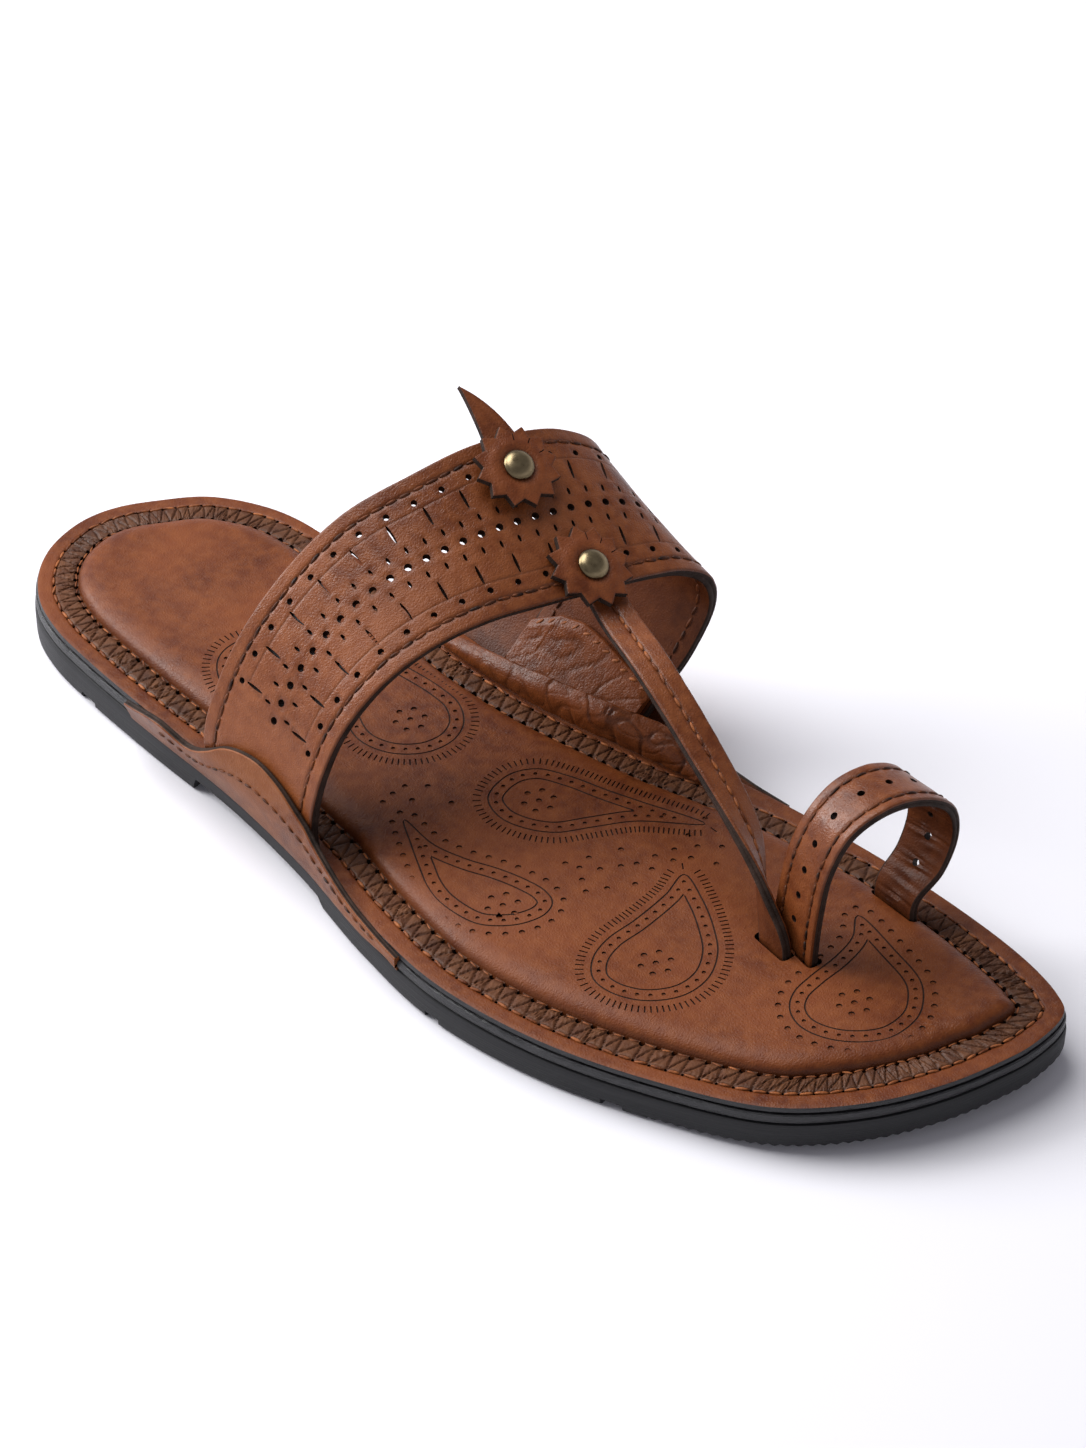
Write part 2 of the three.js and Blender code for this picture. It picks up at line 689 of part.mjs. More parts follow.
const footbedSlab = solidOf(ringLoft([
  outlineRing(sheetInset, sheetBottom),
  outlineRing(sheetInset, sheetTop),
  outlineRing(rimWidth, sheetTop),
  outlineRing(rimWidth + padShoulder * 0.25, (x) => sheetTop(x) + padRise * 0.55),
  outlineRing(rimWidth + padShoulder * 0.6, (x) => sheetTop(x) + padRise * 0.88),
  outlineRing(rimWidth + padShoulder, (x) => sheetTop(x) + padRise),
]));
add('footbed', geometryOf(footbedSlab
  .subtract(bandRoom)
  .subtract(lateralEarRoom)
  .subtract(medialEarRoom)
  .subtract(ringRoom)
  .subtract(strapRoom)), leather);

add('ear_lateral', geometryOf(solidOf(wallOf(lateralEarGrid, earWall)).subtract(bandRoom)), darkLeather);
add('ear_medial', geometryOf(solidOf(wallOf(medialEarGrid, earWall)).subtract(bandRoom)), darkLeather);

// Rosette places on the band: along, across, and the leaf under the rear one
const rosettePlaces = [
  { name: 'rear', along: 0.50, across: 0.229, under: leafWall + clearance },
  { name: 'front', along: 0.53, across: 0.875, under: 0 },
];

const rivetHole = () => holeCutter(rivetShank + 2 * clearance, 12);
let upper = solidOf(wallOf(bandGrid(), bandWall)).add(solidOf(wallOf(strapGrid(), strapWall)));
punched.forEach((cutter) => {
  upper = upper.subtract(cutter);
});
rosettePlaces.forEach(({ along, across }) => {
  upper = upper.subtract(solidOf(placeOnBand(rivetHole(), along, across)));
});
add('upper', geometryOf(upper), leather);

add('toe_ring', wallOf(ringGrid(), ringWall), leather);

rosettePlaces.forEach(({ name, along, across, under }) => {
  const surface = bandWall / 2 + clearance;
  add(`rosette_${name}`, placeOnBand(rosette(), along, across, surface + under), leather);
  const stack = clearance + under + rosetteWall;
  add(`rivet_${name}`, placeOnBand(rivet(stack), along, across, bandWall / 2), brass);
  if (under > 0) add('leaf_tab', placeOnBand(leaf(), along, across, surface), leather);
});

// The origin is the middle of the footprint on the floor
const box = new THREE.Box3().setFromObject(group);
group.position.set(-(box.min.x + box.max.x) / 2, -(box.min.y + box.max.y) / 2, -box.min.z);

export default group;
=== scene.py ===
import math

import bmesh
import bpy
import numpy as np
from mathutils import Matrix, Vector


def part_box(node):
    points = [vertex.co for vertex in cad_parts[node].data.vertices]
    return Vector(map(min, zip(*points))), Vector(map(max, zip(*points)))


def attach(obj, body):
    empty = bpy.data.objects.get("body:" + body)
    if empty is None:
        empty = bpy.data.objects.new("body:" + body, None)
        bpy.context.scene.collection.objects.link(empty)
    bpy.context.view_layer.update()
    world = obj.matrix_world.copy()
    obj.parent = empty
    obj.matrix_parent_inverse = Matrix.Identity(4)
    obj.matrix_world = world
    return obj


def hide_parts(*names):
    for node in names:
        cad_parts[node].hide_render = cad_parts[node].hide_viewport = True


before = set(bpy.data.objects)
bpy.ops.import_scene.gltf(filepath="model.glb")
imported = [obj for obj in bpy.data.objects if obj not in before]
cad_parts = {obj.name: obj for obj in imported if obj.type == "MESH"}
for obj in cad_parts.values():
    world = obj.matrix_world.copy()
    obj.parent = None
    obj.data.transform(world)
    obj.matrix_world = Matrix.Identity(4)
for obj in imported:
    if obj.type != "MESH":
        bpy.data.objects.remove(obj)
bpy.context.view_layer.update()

# The view: the photograph's angle to the shoe, taken with a long lens from high at the outer
# side of the toe, with a slight roll.
MM = 0.001
view_azimuth = math.radians(42.207)
view_elevation = math.radians(42.662)
view_roll = math.radians(0.893)
camera_place = Vector((0.49718, -0.53647, 0.70636))
camera_lens = 106.1
long_side_sensor = 36.0

back_way = Vector((
    math.sin(view_azimuth) * math.cos(view_elevation),
    -math.cos(view_azimuth) * math.cos(view_elevation),
    math.sin(view_elevation),
))
level_right = Vector((math.cos(view_azimuth), math.sin(view_azimuth), 0))
level_up = back_way.cross(level_right)
right_way = level_right * math.cos(view_roll) + level_up * math.sin(view_roll)
up_way = level_up * math.cos(view_roll) - level_right * math.sin(view_roll)
camera_data = bpy.data.cameras.new("camera")
camera_data.lens = camera_lens
camera_data.sensor_width = long_side_sensor
camera = bpy.data.objects.new("camera", camera_data)
bpy.context.scene.collection.objects.link(camera)
camera_turn = Matrix((right_way, up_way, back_way)).transposed().to_4x4()
camera.matrix_world = Matrix.Translation(camera_place) @ camera_turn
bpy.context.scene.camera = camera
bpy.context.scene.view_settings.view_transform = "Standard"

# The studio: a pale paper floor, a softbox low at the heel's outer side, a broad one overhead
# towards the heel, and a room that is bright at paper height and dim overhead.
floor_size = 6.0
paper_colour = "#E0DFE4"
room_colour = "#F6F5FF"
room_bright = 0.82
room_dim = 0.2
room_bright_to = 0.25
room_dim_from = 0.6


def linear(hex_colour):
    """Linear red, green and blue of an sRGB hex colour."""
    channels = [int(hex_colour[i:i + 2], 16) / 255 for i in (1, 3, 5)]
    return [c / 12.92 if c <= 0.04045 else ((c + 0.055) / 1.055) ** 2.4 for c in channels]


def node(tree, kind, settings=(), **links):
    """Adds a node. Settings are its own properties, and links set or join its inputs by name."""
    made = tree.nodes.new(kind)
    for key, value in dict(settings).items():
        setattr(made, key, value)
    for key, value in links.items():
        socket = made.inputs[int(key[2:])] if key.startswith("in") else made.inputs[key.replace("_", " ")]
        if isinstance(value, bpy.types.NodeSocket):
            tree.links.new(value, socket)
        elif isinstance(value, str):
            socket.default_value = [*linear(value), 1]
        else:
            socket.default_value = value
    return made


def new_material(name):
    """An empty material with its output node."""
    material = bpy.data.materials.new(name)
    material.use_nodes = True
    material.node_tree.nodes.clear()
    return material, material.node_tree


bm = bmesh.new()
bmesh.ops.create_grid(bm, x_segments=2, y_segments=2, size=floor_size / 2)
floor_mesh = bpy.data.meshes.new("floor")
bm.to_mesh(floor_mesh)
bm.free()
floor = bpy.data.objects.new("floor", floor_mesh)
bpy.context.scene.collection.objects.link(floor)
paper, tree = new_material("background_paper")
paper_shader = node(tree, "ShaderNodeBsdfPrincipled", Base_Color=paper_colour, Roughness=0.9)
node(tree, "ShaderNodeOutputMaterial", Surface=paper_shader.outputs["BSDF"])
floor.data.materials.append(paper)

world = bpy.data.worlds.new("room")
world.use_nodes = True
tree = world.node_tree
looking = node(tree, "ShaderNodeTexCoord")
height_of = node(tree, "ShaderNodeSeparateXYZ", Vector=looking.outputs["Generated"])
room_light = node(tree, "ShaderNodeMapRange", Value=height_of.outputs["Z"], From_Min=room_bright_to,
                  From_Max=room_dim_from, To_Min=room_bright, To_Max=room_dim)
tree.nodes["Background"].inputs["Color"].default_value = [*linear(room_colour), 1]
tree.links.new(room_light.outputs[0], tree.nodes["Background"].inputs["Strength"])
bpy.context.scene.world = world

soft_lights = (
    # name, place, size, watts
    ("heel_softbox", (-1.0, -0.45, 0.65), 0.7, 17),
    ("overhead_softbox", (-0.6, 0, 1.2), 1.1, 18),
)
for light_name, place, size, watts in soft_lights:
    light_data = bpy.data.lights.new(light_name, "AREA")
    light_data.shape = "DISK"
    light_data.size = size
    light_data.energy = watts
    light = bpy.data.objects.new(light_name, light_data)
    light.location = place
    light.rotation_euler = (-Vector(place)).to_track_quat("-Z", "Y").to_euler()
    bpy.context.scene.collection.objects.link(light)


# The outsole: moulded black rubber with a heel block, a raised arch, cross grooves and short
# teeth round the toe. Its side was trimmed with a knife, which left long level scratches.
sole_length = 289.5 * MM
ball_width = 100 * MM
heel_thickness = 8.7 * MM
fore_thickness = 7.4 * MM
toe_spring = 3.6 * MM
spring_start = 0.763
heel_end = 0.281
ball_start = 0.468
arch_rise = 4.5 * MM
groove_depth = 2.2 * MM
cross_grooves = ((0.1335, 0.1525), (0.602, 0.617), (0.7645, 0.782))
tooth_pitch = 2.8 * MM
tooth_depth = 0.7 * MM
outline_rows = (
    # share of the length, lateral and medial side as shares of the ball width
    (0.0017, -0.07, 0.01), (0.010, -0.16, 0.09), (0.028, -0.24, 0.175), (0.056, -0.307, 0.275),
    (0.094, -0.35, 0.34), (0.136, -0.372, 0.373), (0.226, -0.40, 0.368), (0.344, -0.426, 0.349),
    (0.434, -0.468, 0.349), (0.520, -0.53, 0.379), (0.607, -0.568, 0.416), (0.707, -0.54, 0.445),
    (0.808, -0.448, 0.454), (0.891, -0.335, 0.434), (0.943, -0.185, 0.403), (0.975, -0.03, 0.368),
    (0.992, 0.105, 0.335), (0.9985, 0.185, 0.29),
)


def unit(ways):
    """The same ways, each with a length of one."""
    return ways / np.linalg.norm(ways, axis=-1, keepdims=True)


def bell(distance, reach):
    """A smooth hump of one that has died away at about twice its reach."""
    return np.exp(-(distance / reach) ** 2)


def eased(share):
    """A share from 0 to 1 that starts and ends slowly."""
    return share * share * (3 - 2 * share)


def run_of(points):
    """How far along the line through all the points each of them lies."""
    return np.concatenate([[0], np.cumsum(np.linalg.norm(np.diff(points, axis=0), axis=1))])


def rail(points, closed=False):
    """Centripetal spline through points, as a function from shares 0 to 1 to places on it."""
    knots = np.array(points, float)
    if closed:
        padded = np.vstack([knots[-1:], knots, knots[:2]])
    else:
        padded = np.vstack([2 * knots[:1] - knots[1:2], knots, 2 * knots[-1:] - knots[-2:-1]])
    spans = len(padded) - 3

    def at(share):
        run = np.clip(np.asarray(share, float), 0, 1) * spans
        span = np.minimum(run.astype(int), spans - 1)
        t = (run - span)[..., None]
        a, b, c, d = (padded[span + k] for k in range(4))
        ab, bc, cd = (
            np.maximum(np.linalg.norm(q - p, axis=-1, keepdims=True), 1e-9) ** 0.5
            for p, q in ((a, b), (b, c), (c, d))
        )
        leave = ((b - a) / ab - (c - a) / (ab + bc) + (c - b) / bc) * bc
        enter = ((c - b) / bc - (d - b) / (bc + cd) + (d - c) / cd) * bc
        bend = 3 * (c - b) - 2 * leave - enter
        return b + leave * t + bend * t ** 2 + (2 * (b - c) + leave + enter) * t ** 3

    return at


sole_scale = np.array([sole_length, ball_width, ball_width])
side_samples = rail(np.array(outline_rows) * sole_scale)(np.linspace(0, 1, 600))


def side_at(x, medial):
    """Side of the sole's outline at a place along it."""
    return np.interp(x, side_samples[:, 0], side_samples[:, 2 if medial else 1])


loop_rows = [(x * sole_length, lateral * ball_width) for x, lateral, medial in outline_rows]
loop_rows += [(x * sole_length, medial * ball_width) for x, lateral, medial in reversed(outline_rows)]
loop_shares = np.linspace(0, 1, 6001)
loop_points = rail(loop_rows, closed=True)(loop_shares)
loop_run = run_of(loop_points)
loop_length = loop_run[-1]
spine_ends = 0.12 * sole_length, 0.87 * sole_length
spine_x = np.clip(loop_points[:, 0], *spine_ends)
spine_points = np.stack([spine_x, (side_at(spine_x, False) + side_at(spine_x, True)) / 2], axis=1)
loop_way = unit(np.gradient(loop_points, axis=0))
loop_inward = np.stack([-loop_way[:, 1], loop_way[:, 0]], axis=1)
spine_way = unit(spine_points - loop_points)
spine_way /= np.maximum((spine_way * loop_inward).sum(axis=1, keepdims=True), 0.6)


def by_loop(table, share):
    """Rows of a table kept at the loop's samples, read at shares of the way round."""
    run = np.mod(share, 1 + 1e-12) * loop_length
    return np.stack([np.interp(run, loop_run, column) for column in table.T], axis=-1)


def middle_at(share):
    """Point of the middle line that both sides meet at, the same share of the way from the heel."""
    x = (by_loop(loop_points, share)[..., 0] + by_loop(loop_points, 1 - share)[..., 0]) / 2
    x = np.clip(x, *spine_ends)
    return np.stack([x, (side_at(x, False) + side_at(x, True)) / 2], axis=-1)


def inset_at(share, inset, to_spine=0.0):
    """Point on the plan: round the outline from the heel along the outer side, drawn in by an
    inset, and then by a share of the way to the middle line."""
    start = by_loop(loop_points, share) + by_loop(spine_way, share) * np.asarray(inset)[..., None]
    return start + (middle_at(share) - start) * np.asarray(to_spine)[..., None]


def spring_at(x):
    run = np.maximum(0, x / sole_length - spring_start) / (1 - spring_start)
    return toe_spring * run * run


def sole_top(x):
    blend = np.clip((x / sole_length - heel_end) / (ball_start - heel_end), 0, 1)
    return heel_thickness + (fore_thickness - heel_thickness) * eased(blend) + spring_at(x)


# The shoe's own x starts at the back of the heel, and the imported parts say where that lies.
sole_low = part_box("outsole")[0]
to_frame = Vector((
    sole_low.x - side_samples[0, 0],
    sole_low.y - side_samples[:, 1].min(),
    0,
))


def finish_mesh(bm, name, materials, smooth_angle=40):
    """Makes the object from a bmesh in the shoe's own frame, with its normals outwards."""
    bmesh.ops.recalc_face_normals(bm, faces=bm.faces)
    bmesh.ops.translate(bm, vec=to_frame, verts=bm.verts)
    for face in bm.faces:
        face.smooth = True
    for edge in bm.edges:
        if len(edge.link_faces) == 2 and edge.calc_face_angle(0) > math.radians(smooth_angle):
            edge.smooth = False
    mesh = bpy.data.meshes.new(name)
    bm.to_mesh(mesh)
    bm.free()
    for material in materials:
        mesh.materials.append(material)
    piece = bpy.data.objects.new(name, mesh)
    bpy.context.scene.collection.objects.link(piece)
    return piece


def laid_grid(columns, rows, place, closed=True, finishes=None):
    """A flat grid whose points are laid where place says from their column and row. Place gives
    the points, their flat sizes in metres and how much painted shade each one gets. Finishes names
    the material's number of each gap between rows. Open ends are filled."""
    bm = bmesh.new()
    bmesh.ops.create_grid(bm, x_segments=columns, y_segments=rows, size=0.5)
    shares = np.array([vert.co for vert in bm.verts]) + 0.5
    column = np.rint(shares[:, 0] * columns).astype(int)
    row = np.rint(shares[:, 1] * rows).astype(int)
    points, flat, shade = place(column, row)
    uv_layer = bm.loops.layers.uv.new("flat")
    shade_layer = bm.verts.layers.float.new("shade")
    for vert, point, value in zip(bm.verts, points.tolist(), shade.tolist()):
        vert.co = point
        vert[shade_layer] = value
    flat = flat.tolist()
    row = row.tolist()
    for face in bm.faces:
        if finishes:
            face.material_index = finishes[min(row[vert.index] for vert in face.verts)]
        for loop in face.loops:
            loop[uv_layer].uv = flat[loop.vert.index]
    if closed:
        bmesh.ops.remove_doubles(bm, verts=bm.verts, dist=1e-7)
        bmesh.ops.holes_fill(bm, edges=[edge for edge in bm.edges if edge.is_boundary], sides=0)
    return bm


def sole_ring(columns, profile, height, relief=None, extra=None, finishes=None):
    """A piece that goes round the outline. Each profile row has an inset, a share of the way to
    the middle line, a rise over the height's function, and its base's name. Extra says how much
    further in the rows past the edge lie at a share of the way round."""
    table = np.array([row[:3] for row in profile], float)
    bases = [row[3] for row in profile]
    down_profile = run_of(table[:, [0, 2]])

    def place(column, row):
        share = column / columns
        inset, to_spine, rise = table[row].T
        moved = inset
        if extra:
            moved = inset + extra(share) * np.clip((inset - 1.5 * MM) / (2.5 * MM), 0, 1)
        plan = inset_at(share, moved, to_spine)
        base = np.zeros(len(plan))
        for name in set(bases):
            use = np.array([b == name for b in bases])[row]
            base[use] = height[name](plan[use, 0])
        flat = np.stack([share * loop_length, down_profile[row]], axis=1)
        points = np.column_stack([plan, base + rise])
        shade = np.zeros(len(plan))
        if relief:
            lift, shade = relief(share * loop_length, inset, row, plan)
            points[:, 2] += lift
        return points, flat, shade

    return laid_grid(columns, len(profile) - 1, place, finishes=finishes)


def box_cutter(bm, low, high):
    """Adds a box between two corners to a cutter."""
    size = Matrix.Diagonal([h - l for l, h in zip(low, high)]).to_4x4()
    middle = Matrix.Translation([(h + l) / 2 for l, h in zip(low, high)])
    return bmesh.ops.create_cube(bm, size=1, matrix=middle @ size)


def cut(piece, bm, name, *materials):
    """Takes the cutter's solids, in the shoe's own frame, out of a piece for good."""
    cutter = finish_mesh(bm, name, materials)
    modifier = piece.modifiers.new("cut", "BOOLEAN")
    modifier.operation = "DIFFERENCE"
    modifier.solver = "MANIFOLD"
    modifier.material_mode = "TRANSFER"
    modifier.object = cutter
    graph = bpy.context.evaluated_depsgraph_get()
    graph.update()
    made = bpy.data.meshes.new_from_object(piece.evaluated_get(graph))
    piece.modifiers.clear()
    piece.data = made
    bpy.data.objects.remove(cutter)
    for polygon in made.polygons:
        polygon.use_smooth = True
    made.set_sharp_from_angle(angle=math.radians(40))
    return piece


def put_down(piece, slot, *nodes):
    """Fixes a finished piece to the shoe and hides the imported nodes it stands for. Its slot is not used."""
    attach(piece, "root")
    if nodes:
        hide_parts(*nodes)


# Moulded rubber: charcoal and nearly matt, with level knife scratches and a fine grain.
rubber, tree = new_material("trimmed_rubber")
place_on = node(tree, "ShaderNodeUVMap", {"uv_map": "flat"})
streak_size = node(tree, "ShaderNodeMapping", in0=place_on.outputs[0], Scale=(30, 1400, 1))
streaks = node(tree, "ShaderNodeTexNoise", Vector=streak_size.outputs[0], Scale=1.0, Detail=4.0)
spots = node(tree, "ShaderNodeTexCoord")
grain = node(tree, "ShaderNodeTexNoise", Vector=spots.outputs["Object"], Scale=900.0, Detail=3.0)
tone = node(tree, "ShaderNodeMix", {"data_type": "RGBA"}, in0=streaks.outputs["Fac"],
            in6="#161617", in7="#29292B")
rubber_bump = node(tree, "ShaderNodeBump", Height=streaks.outputs["Fac"], Distance=0.25 * MM, Strength=0.7)
rubber_grain = node(tree, "ShaderNodeBump", Height=grain.outputs["Fac"], Distance=0.1 * MM, Strength=0.4,
                    Normal=rubber_bump.outputs["Normal"])
rubber_shader = node(tree, "ShaderNodeBsdfPrincipled", Base_Color=tone.outputs[2], Roughness=0.6,
                     Specular_IOR_Level=0.3, Normal=rubber_grain.outputs["Normal"])
node(tree, "ShaderNodeOutputMaterial", Surface=rubber_shader.outputs["BSDF"])

heights = {"spring": spring_at, "top": sole_top}
outsole_profile = [
    (3 * MM, share, 0, "spring") for share in (1, 0.7, 0.4, 0.15)
] + [
    (3 * MM, 0, 0, "spring"), (1.1 * MM, 0, 0, "spring"), (0.5 * MM, 0, 0.25 * MM, "spring"),
    (0.1 * MM, 0, 0.9 * MM, "spring"), (0, 0, 2.2 * MM, "spring"), (0, 0, -3.4 * MM, "top"),
    (0, 0, -1.8 * MM, "top"), (0.05 * MM, 0, -0.7 * MM, "top"), (0.3 * MM, 0, -0.15 * MM, "top"),
    (0.9 * MM, 0, 0, "top"),
]
outsole_columns = 1000


def tooth_relief(run, inset, row, plan):
    """Teeth along the lower rim of the toe."""
    tooth = np.abs(np.mod(run / tooth_pitch, 1) - 0.5) * 2
    low_rim = np.isin(row, (5, 6, 7)) & (plan[:, 0] > 0.8 * sole_length)
    return np.where(low_rim, tooth * tooth_depth, 0), np.zeros(len(run))


bm = sole_ring(outsole_columns, outsole_profile, heights, tooth_relief)
outsole = finish_mesh(bm, "rubber_outsole", [rubber])
bm = bmesh.new()
arch = bmesh.ops.create_cube(bm, size=1)["verts"]
heel_x = heel_end * sole_length
ball_x = ball_start * sole_length
arch_rows = {
    (-0.5, -0.5): (heel_x, -1 * MM), (-0.5, 0.5): (heel_x + 2 * MM, arch_rise),
    (0.5, 0.5): (ball_x - 4 * MM, arch_rise * 0.7), (0.5, -0.5): (ball_x, -1 * MM),
}
for vert in arch:
    x, z = arch_rows[(round(vert.co.x, 1), round(vert.co.z, 1))]
    vert.co = (x, vert.co.y * 2 * ball_width, z)
for start, end in cross_grooves:
    top = groove_depth + float(spring_at(end * sole_length))
    box_cutter(bm, (start * sole_length, -ball_width, -MM), (end * sole_length, ball_width, top))
cut(outsole, bm, "sole_cuts")
put_down(outsole, "rubber_black", "outsole")

# The midsole: a thin fibre board between rubber and leather, its edge blacked and waxed, with
# chips where the knife caught it.
clearance = 0.3 * MM
board_thickness = 2.6 * MM
board_inset = 0.4 * MM
board_columns = 700


def board_bottom(x):
    return sole_top(x) + clearance


def sheet_bottom(x):
    return board_bottom(x) + board_thickness + clearance


# Waxed board edge: black and fairly glossy, broken by small chips.
board_edge, tree = new_material("waxed_board")
place_on = node(tree, "ShaderNodeUVMap", {"uv_map": "flat"})
chip_size = node(tree, "ShaderNodeMapping", in0=place_on.outputs[0], Scale=(160, 900, 1))
chips = node(tree, "ShaderNodeTexNoise", Vector=chip_size.outputs[0], Scale=1.0, Detail=6.0,
             Roughness=0.65)
chip_ramp = node(tree, "ShaderNodeMapRange", Value=chips.outputs["Fac"], From_Min=0.45, From_Max=0.62)
tone = node(tree, "ShaderNodeMix", {"data_type": "RGBA"}, in0=chip_ramp.outputs[0],
            in6="#121214", in7="#2D2C2E")
gloss = node(tree, "ShaderNodeMapRange", Value=chips.outputs["Fac"], From_Min=0.35, From_Max=0.65,
             To_Min=0.25, To_Max=0.6)
board_bump = node(tree, "ShaderNodeBump", Height=chips.outputs["Fac"], Distance=0.6 * MM, Strength=0.8)
board_shader = node(tree, "ShaderNodeBsdfPrincipled", Base_Color=tone.outputs[2], Roughness=gloss.outputs[0],
                    Normal=board_bump.outputs["Normal"])
node(tree, "ShaderNodeOutputMaterial", Surface=board_shader.outputs["BSDF"])

heights = {"board": board_bottom}
board_profile = [
    (board_inset + 1.5 * MM, 0, 0, "board"), (board_inset + 0.3 * MM, 0, 0, "board"),
    (board_inset, 0, 0.3 * MM, "board"), (board_inset - 0.1 * MM, 0, 1.2 * MM, "board"),
    (board_inset, 0, board_thickness - 0.3 * MM, "board"),
    (board_inset + 0.3 * MM, 0, board_thickness, "board"),
    (board_inset + 1.5 * MM, 0, board_thickness, "board"),
]
bm = sole_ring(board_columns, board_profile, heights)
midsole = finish_mesh(bm, "fibre_midsole", [board_edge])
put_down(midsole, "board_black", "midsole")

# The footbed: one sheet of tanned leather with its rim left flat, a padded middle, and between
# them a gathered strip: a stitch row outside, punched holes inside, folds zigzagging across.
sheet_thickness = 1.7 * MM
sheet_inset = 0.9 * MM
pad_rise = 3 * MM
stitch_line = 4.5 * MM
hole_line = 10 * MM
lacing_pitch = 3.9 * MM
rim_hole = 0.9 * MM
rim_stitch = 3.1 * MM
rim_thread = 0.75 * MM
strip_hole = 1.6 * MM
strip_stitch = 2.4 * MM
strip_thread = 0.55 * MM
pad_foot = 10.7 * MM
sheet_columns = 2160
pad_columns = 840
rim_extra_outer = ((0, 0.5), (0.3, 0.8), (0.46, 1.7), (0.6, 1.2), (0.8, 0.5), (1, 1.3))
rim_extra_inner = ((0, 0.5), (0.2, 0), (0.3, 2.4), (0.36, 4.6), (0.58, 4.6), (0.68, 1.4), (0.78, 0), (1, 1.3))


def sheet_top(x):
    return sheet_bottom(x) + sheet_thickness


def rim_extra(share):
    """How much wider the rim is at a place round the outline, as where the ears come through."""
    x = by_loop(loop_points, share)[:, 0] / sole_length
    outer, inner = (np.interp(x, *np.array(rows).T) for rows in (rim_extra_outer, rim_extra_inner))
    from_middle = by_loop(loop_points, share)[:, 1] - by_loop(spine_points, share)[:, 1]
    blend = np.clip(from_middle / (10 * MM), -1, 1)
    return (outer + (inner - outer) * (blend + 1) / 2) * MM


def wander(a, b, seed, size):
    """Smooth waves, mostly within -1 and 1, that don't repeat in view, from two places in metres."""
    random = np.random.default_rng(seed)
    total = np.zeros(np.shape(a))
    for _ in range(6):
        angle = random.uniform(0, math.tau)
        length = size * random.uniform(0.6, 1.7)
        phase = random.uniform(0, math.tau)
        total += np.sin(math.tau * (a * math.cos(angle) + b * math.sin(angle)) / length + phase)
    return total / 3.2


pebble_size = 0.75 * MM


def tanned_leather(name, base, deep, pale, gloss=0.4, sheen=0.2, wrinkle=0.12 * MM):
    """Oiled vegetable-tanned leather: warm brown that pools darker in blotches, a fine pebbled
    grain with short cross wrinkles, and a soft waxed sheen. Painted shade from the shade
    attribute darkens it towards near-black in creases, grooves, dents and folds, and along edges."""
    material, tree = new_material(name)
    on = node(tree, "ShaderNodeTexCoord")
    shade = node(tree, "ShaderNodeAttribute", {"attribute_name": "shade"})
    blotch = node(tree, "ShaderNodeTexNoise", Vector=on.outputs["Object"], Scale=32.0, Detail=3.0,
                  Roughness=0.55)
    mottle = node(tree, "ShaderNodeTexNoise", Vector=on.outputs["Object"], Scale=330.0, Detail=4.0)
    pool = node(tree, "ShaderNodeMapRange", Value=blotch.outputs["Fac"], From_Min=0.38, From_Max=0.66)
    speck = node(tree, "ShaderNodeMapRange", Value=mottle.outputs["Fac"], From_Min=0.35, From_Max=0.7,
                 To_Max=0.55)
    body = node(tree, "ShaderNodeMix", {"data_type": "RGBA"}, in0=pool.outputs[0], in6=deep, in7=base)
    body = node(tree, "ShaderNodeMix", {"data_type": "RGBA"}, in0=speck.outputs[0],
                in6=body.outputs[2], in7=pale)
    # Painted shade: the shade attribute mixes the leather towards near-black in creases, grooves, dents and
    # folds, and along some edges.
    painted_shade = node(tree, "ShaderNodeMix", {"data_type": "RGBA"}, in0=shade.outputs["Fac"],
                 in6=body.outputs[2], in7="#2C150B")
    bend = node(tree, "ShaderNodeTexNoise", Vector=on.outputs["Object"], Scale=420.0, Detail=2.0)
    warped = node(tree, "ShaderNodeVectorMath", {"operation": "MULTIPLY_ADD"},
                  in0=bend.outputs["Color"], in1=(0.0016, 0.0016, 0.0016), in2=on.outputs["Object"])
    pebbles = node(tree, "ShaderNodeTexVoronoi", {"feature": "DISTANCE_TO_EDGE"},
                   Vector=warped.outputs[0], Scale=1 / pebble_size)
    lines = node(tree, "ShaderNodeMapping", in0=on.outputs["Object"], Rotation=(0.3, 0.4, 0.75),
                 Scale=(1500, 330, 900))
    wrinkles = node(tree, "ShaderNodeTexNoise", Vector=lines.outputs[0], Scale=1.0, Detail=3.0,
                    Distortion=0.6)
    rough = node(tree, "ShaderNodeMapRange", Value=blotch.outputs["Fac"], From_Min=0.3, From_Max=0.7,
                 To_Min=gloss - 0.06, To_Max=gloss + 0.12)
    bump_pebbles = node(tree, "ShaderNodeBump", Height=pebbles.outputs["Distance"],
                        Distance=0.22 * MM, Strength=0.55)
    bump_lines = node(tree, "ShaderNodeBump", Height=wrinkles.outputs["Fac"], Distance=wrinkle, Strength=0.55,
                      Normal=bump_pebbles.outputs["Normal"])
    shader = node(tree, "ShaderNodeBsdfPrincipled", Base_Color=painted_shade.outputs[2], Roughness=rough.outputs[0],
                  Specular_IOR_Level=sheen, Coat_Weight=0.03, Coat_Roughness=0.25,
                  Normal=bump_lines.outputs["Normal"])
    node(tree, "ShaderNodeOutputMaterial", Surface=shader.outputs["BSDF"])
    return material


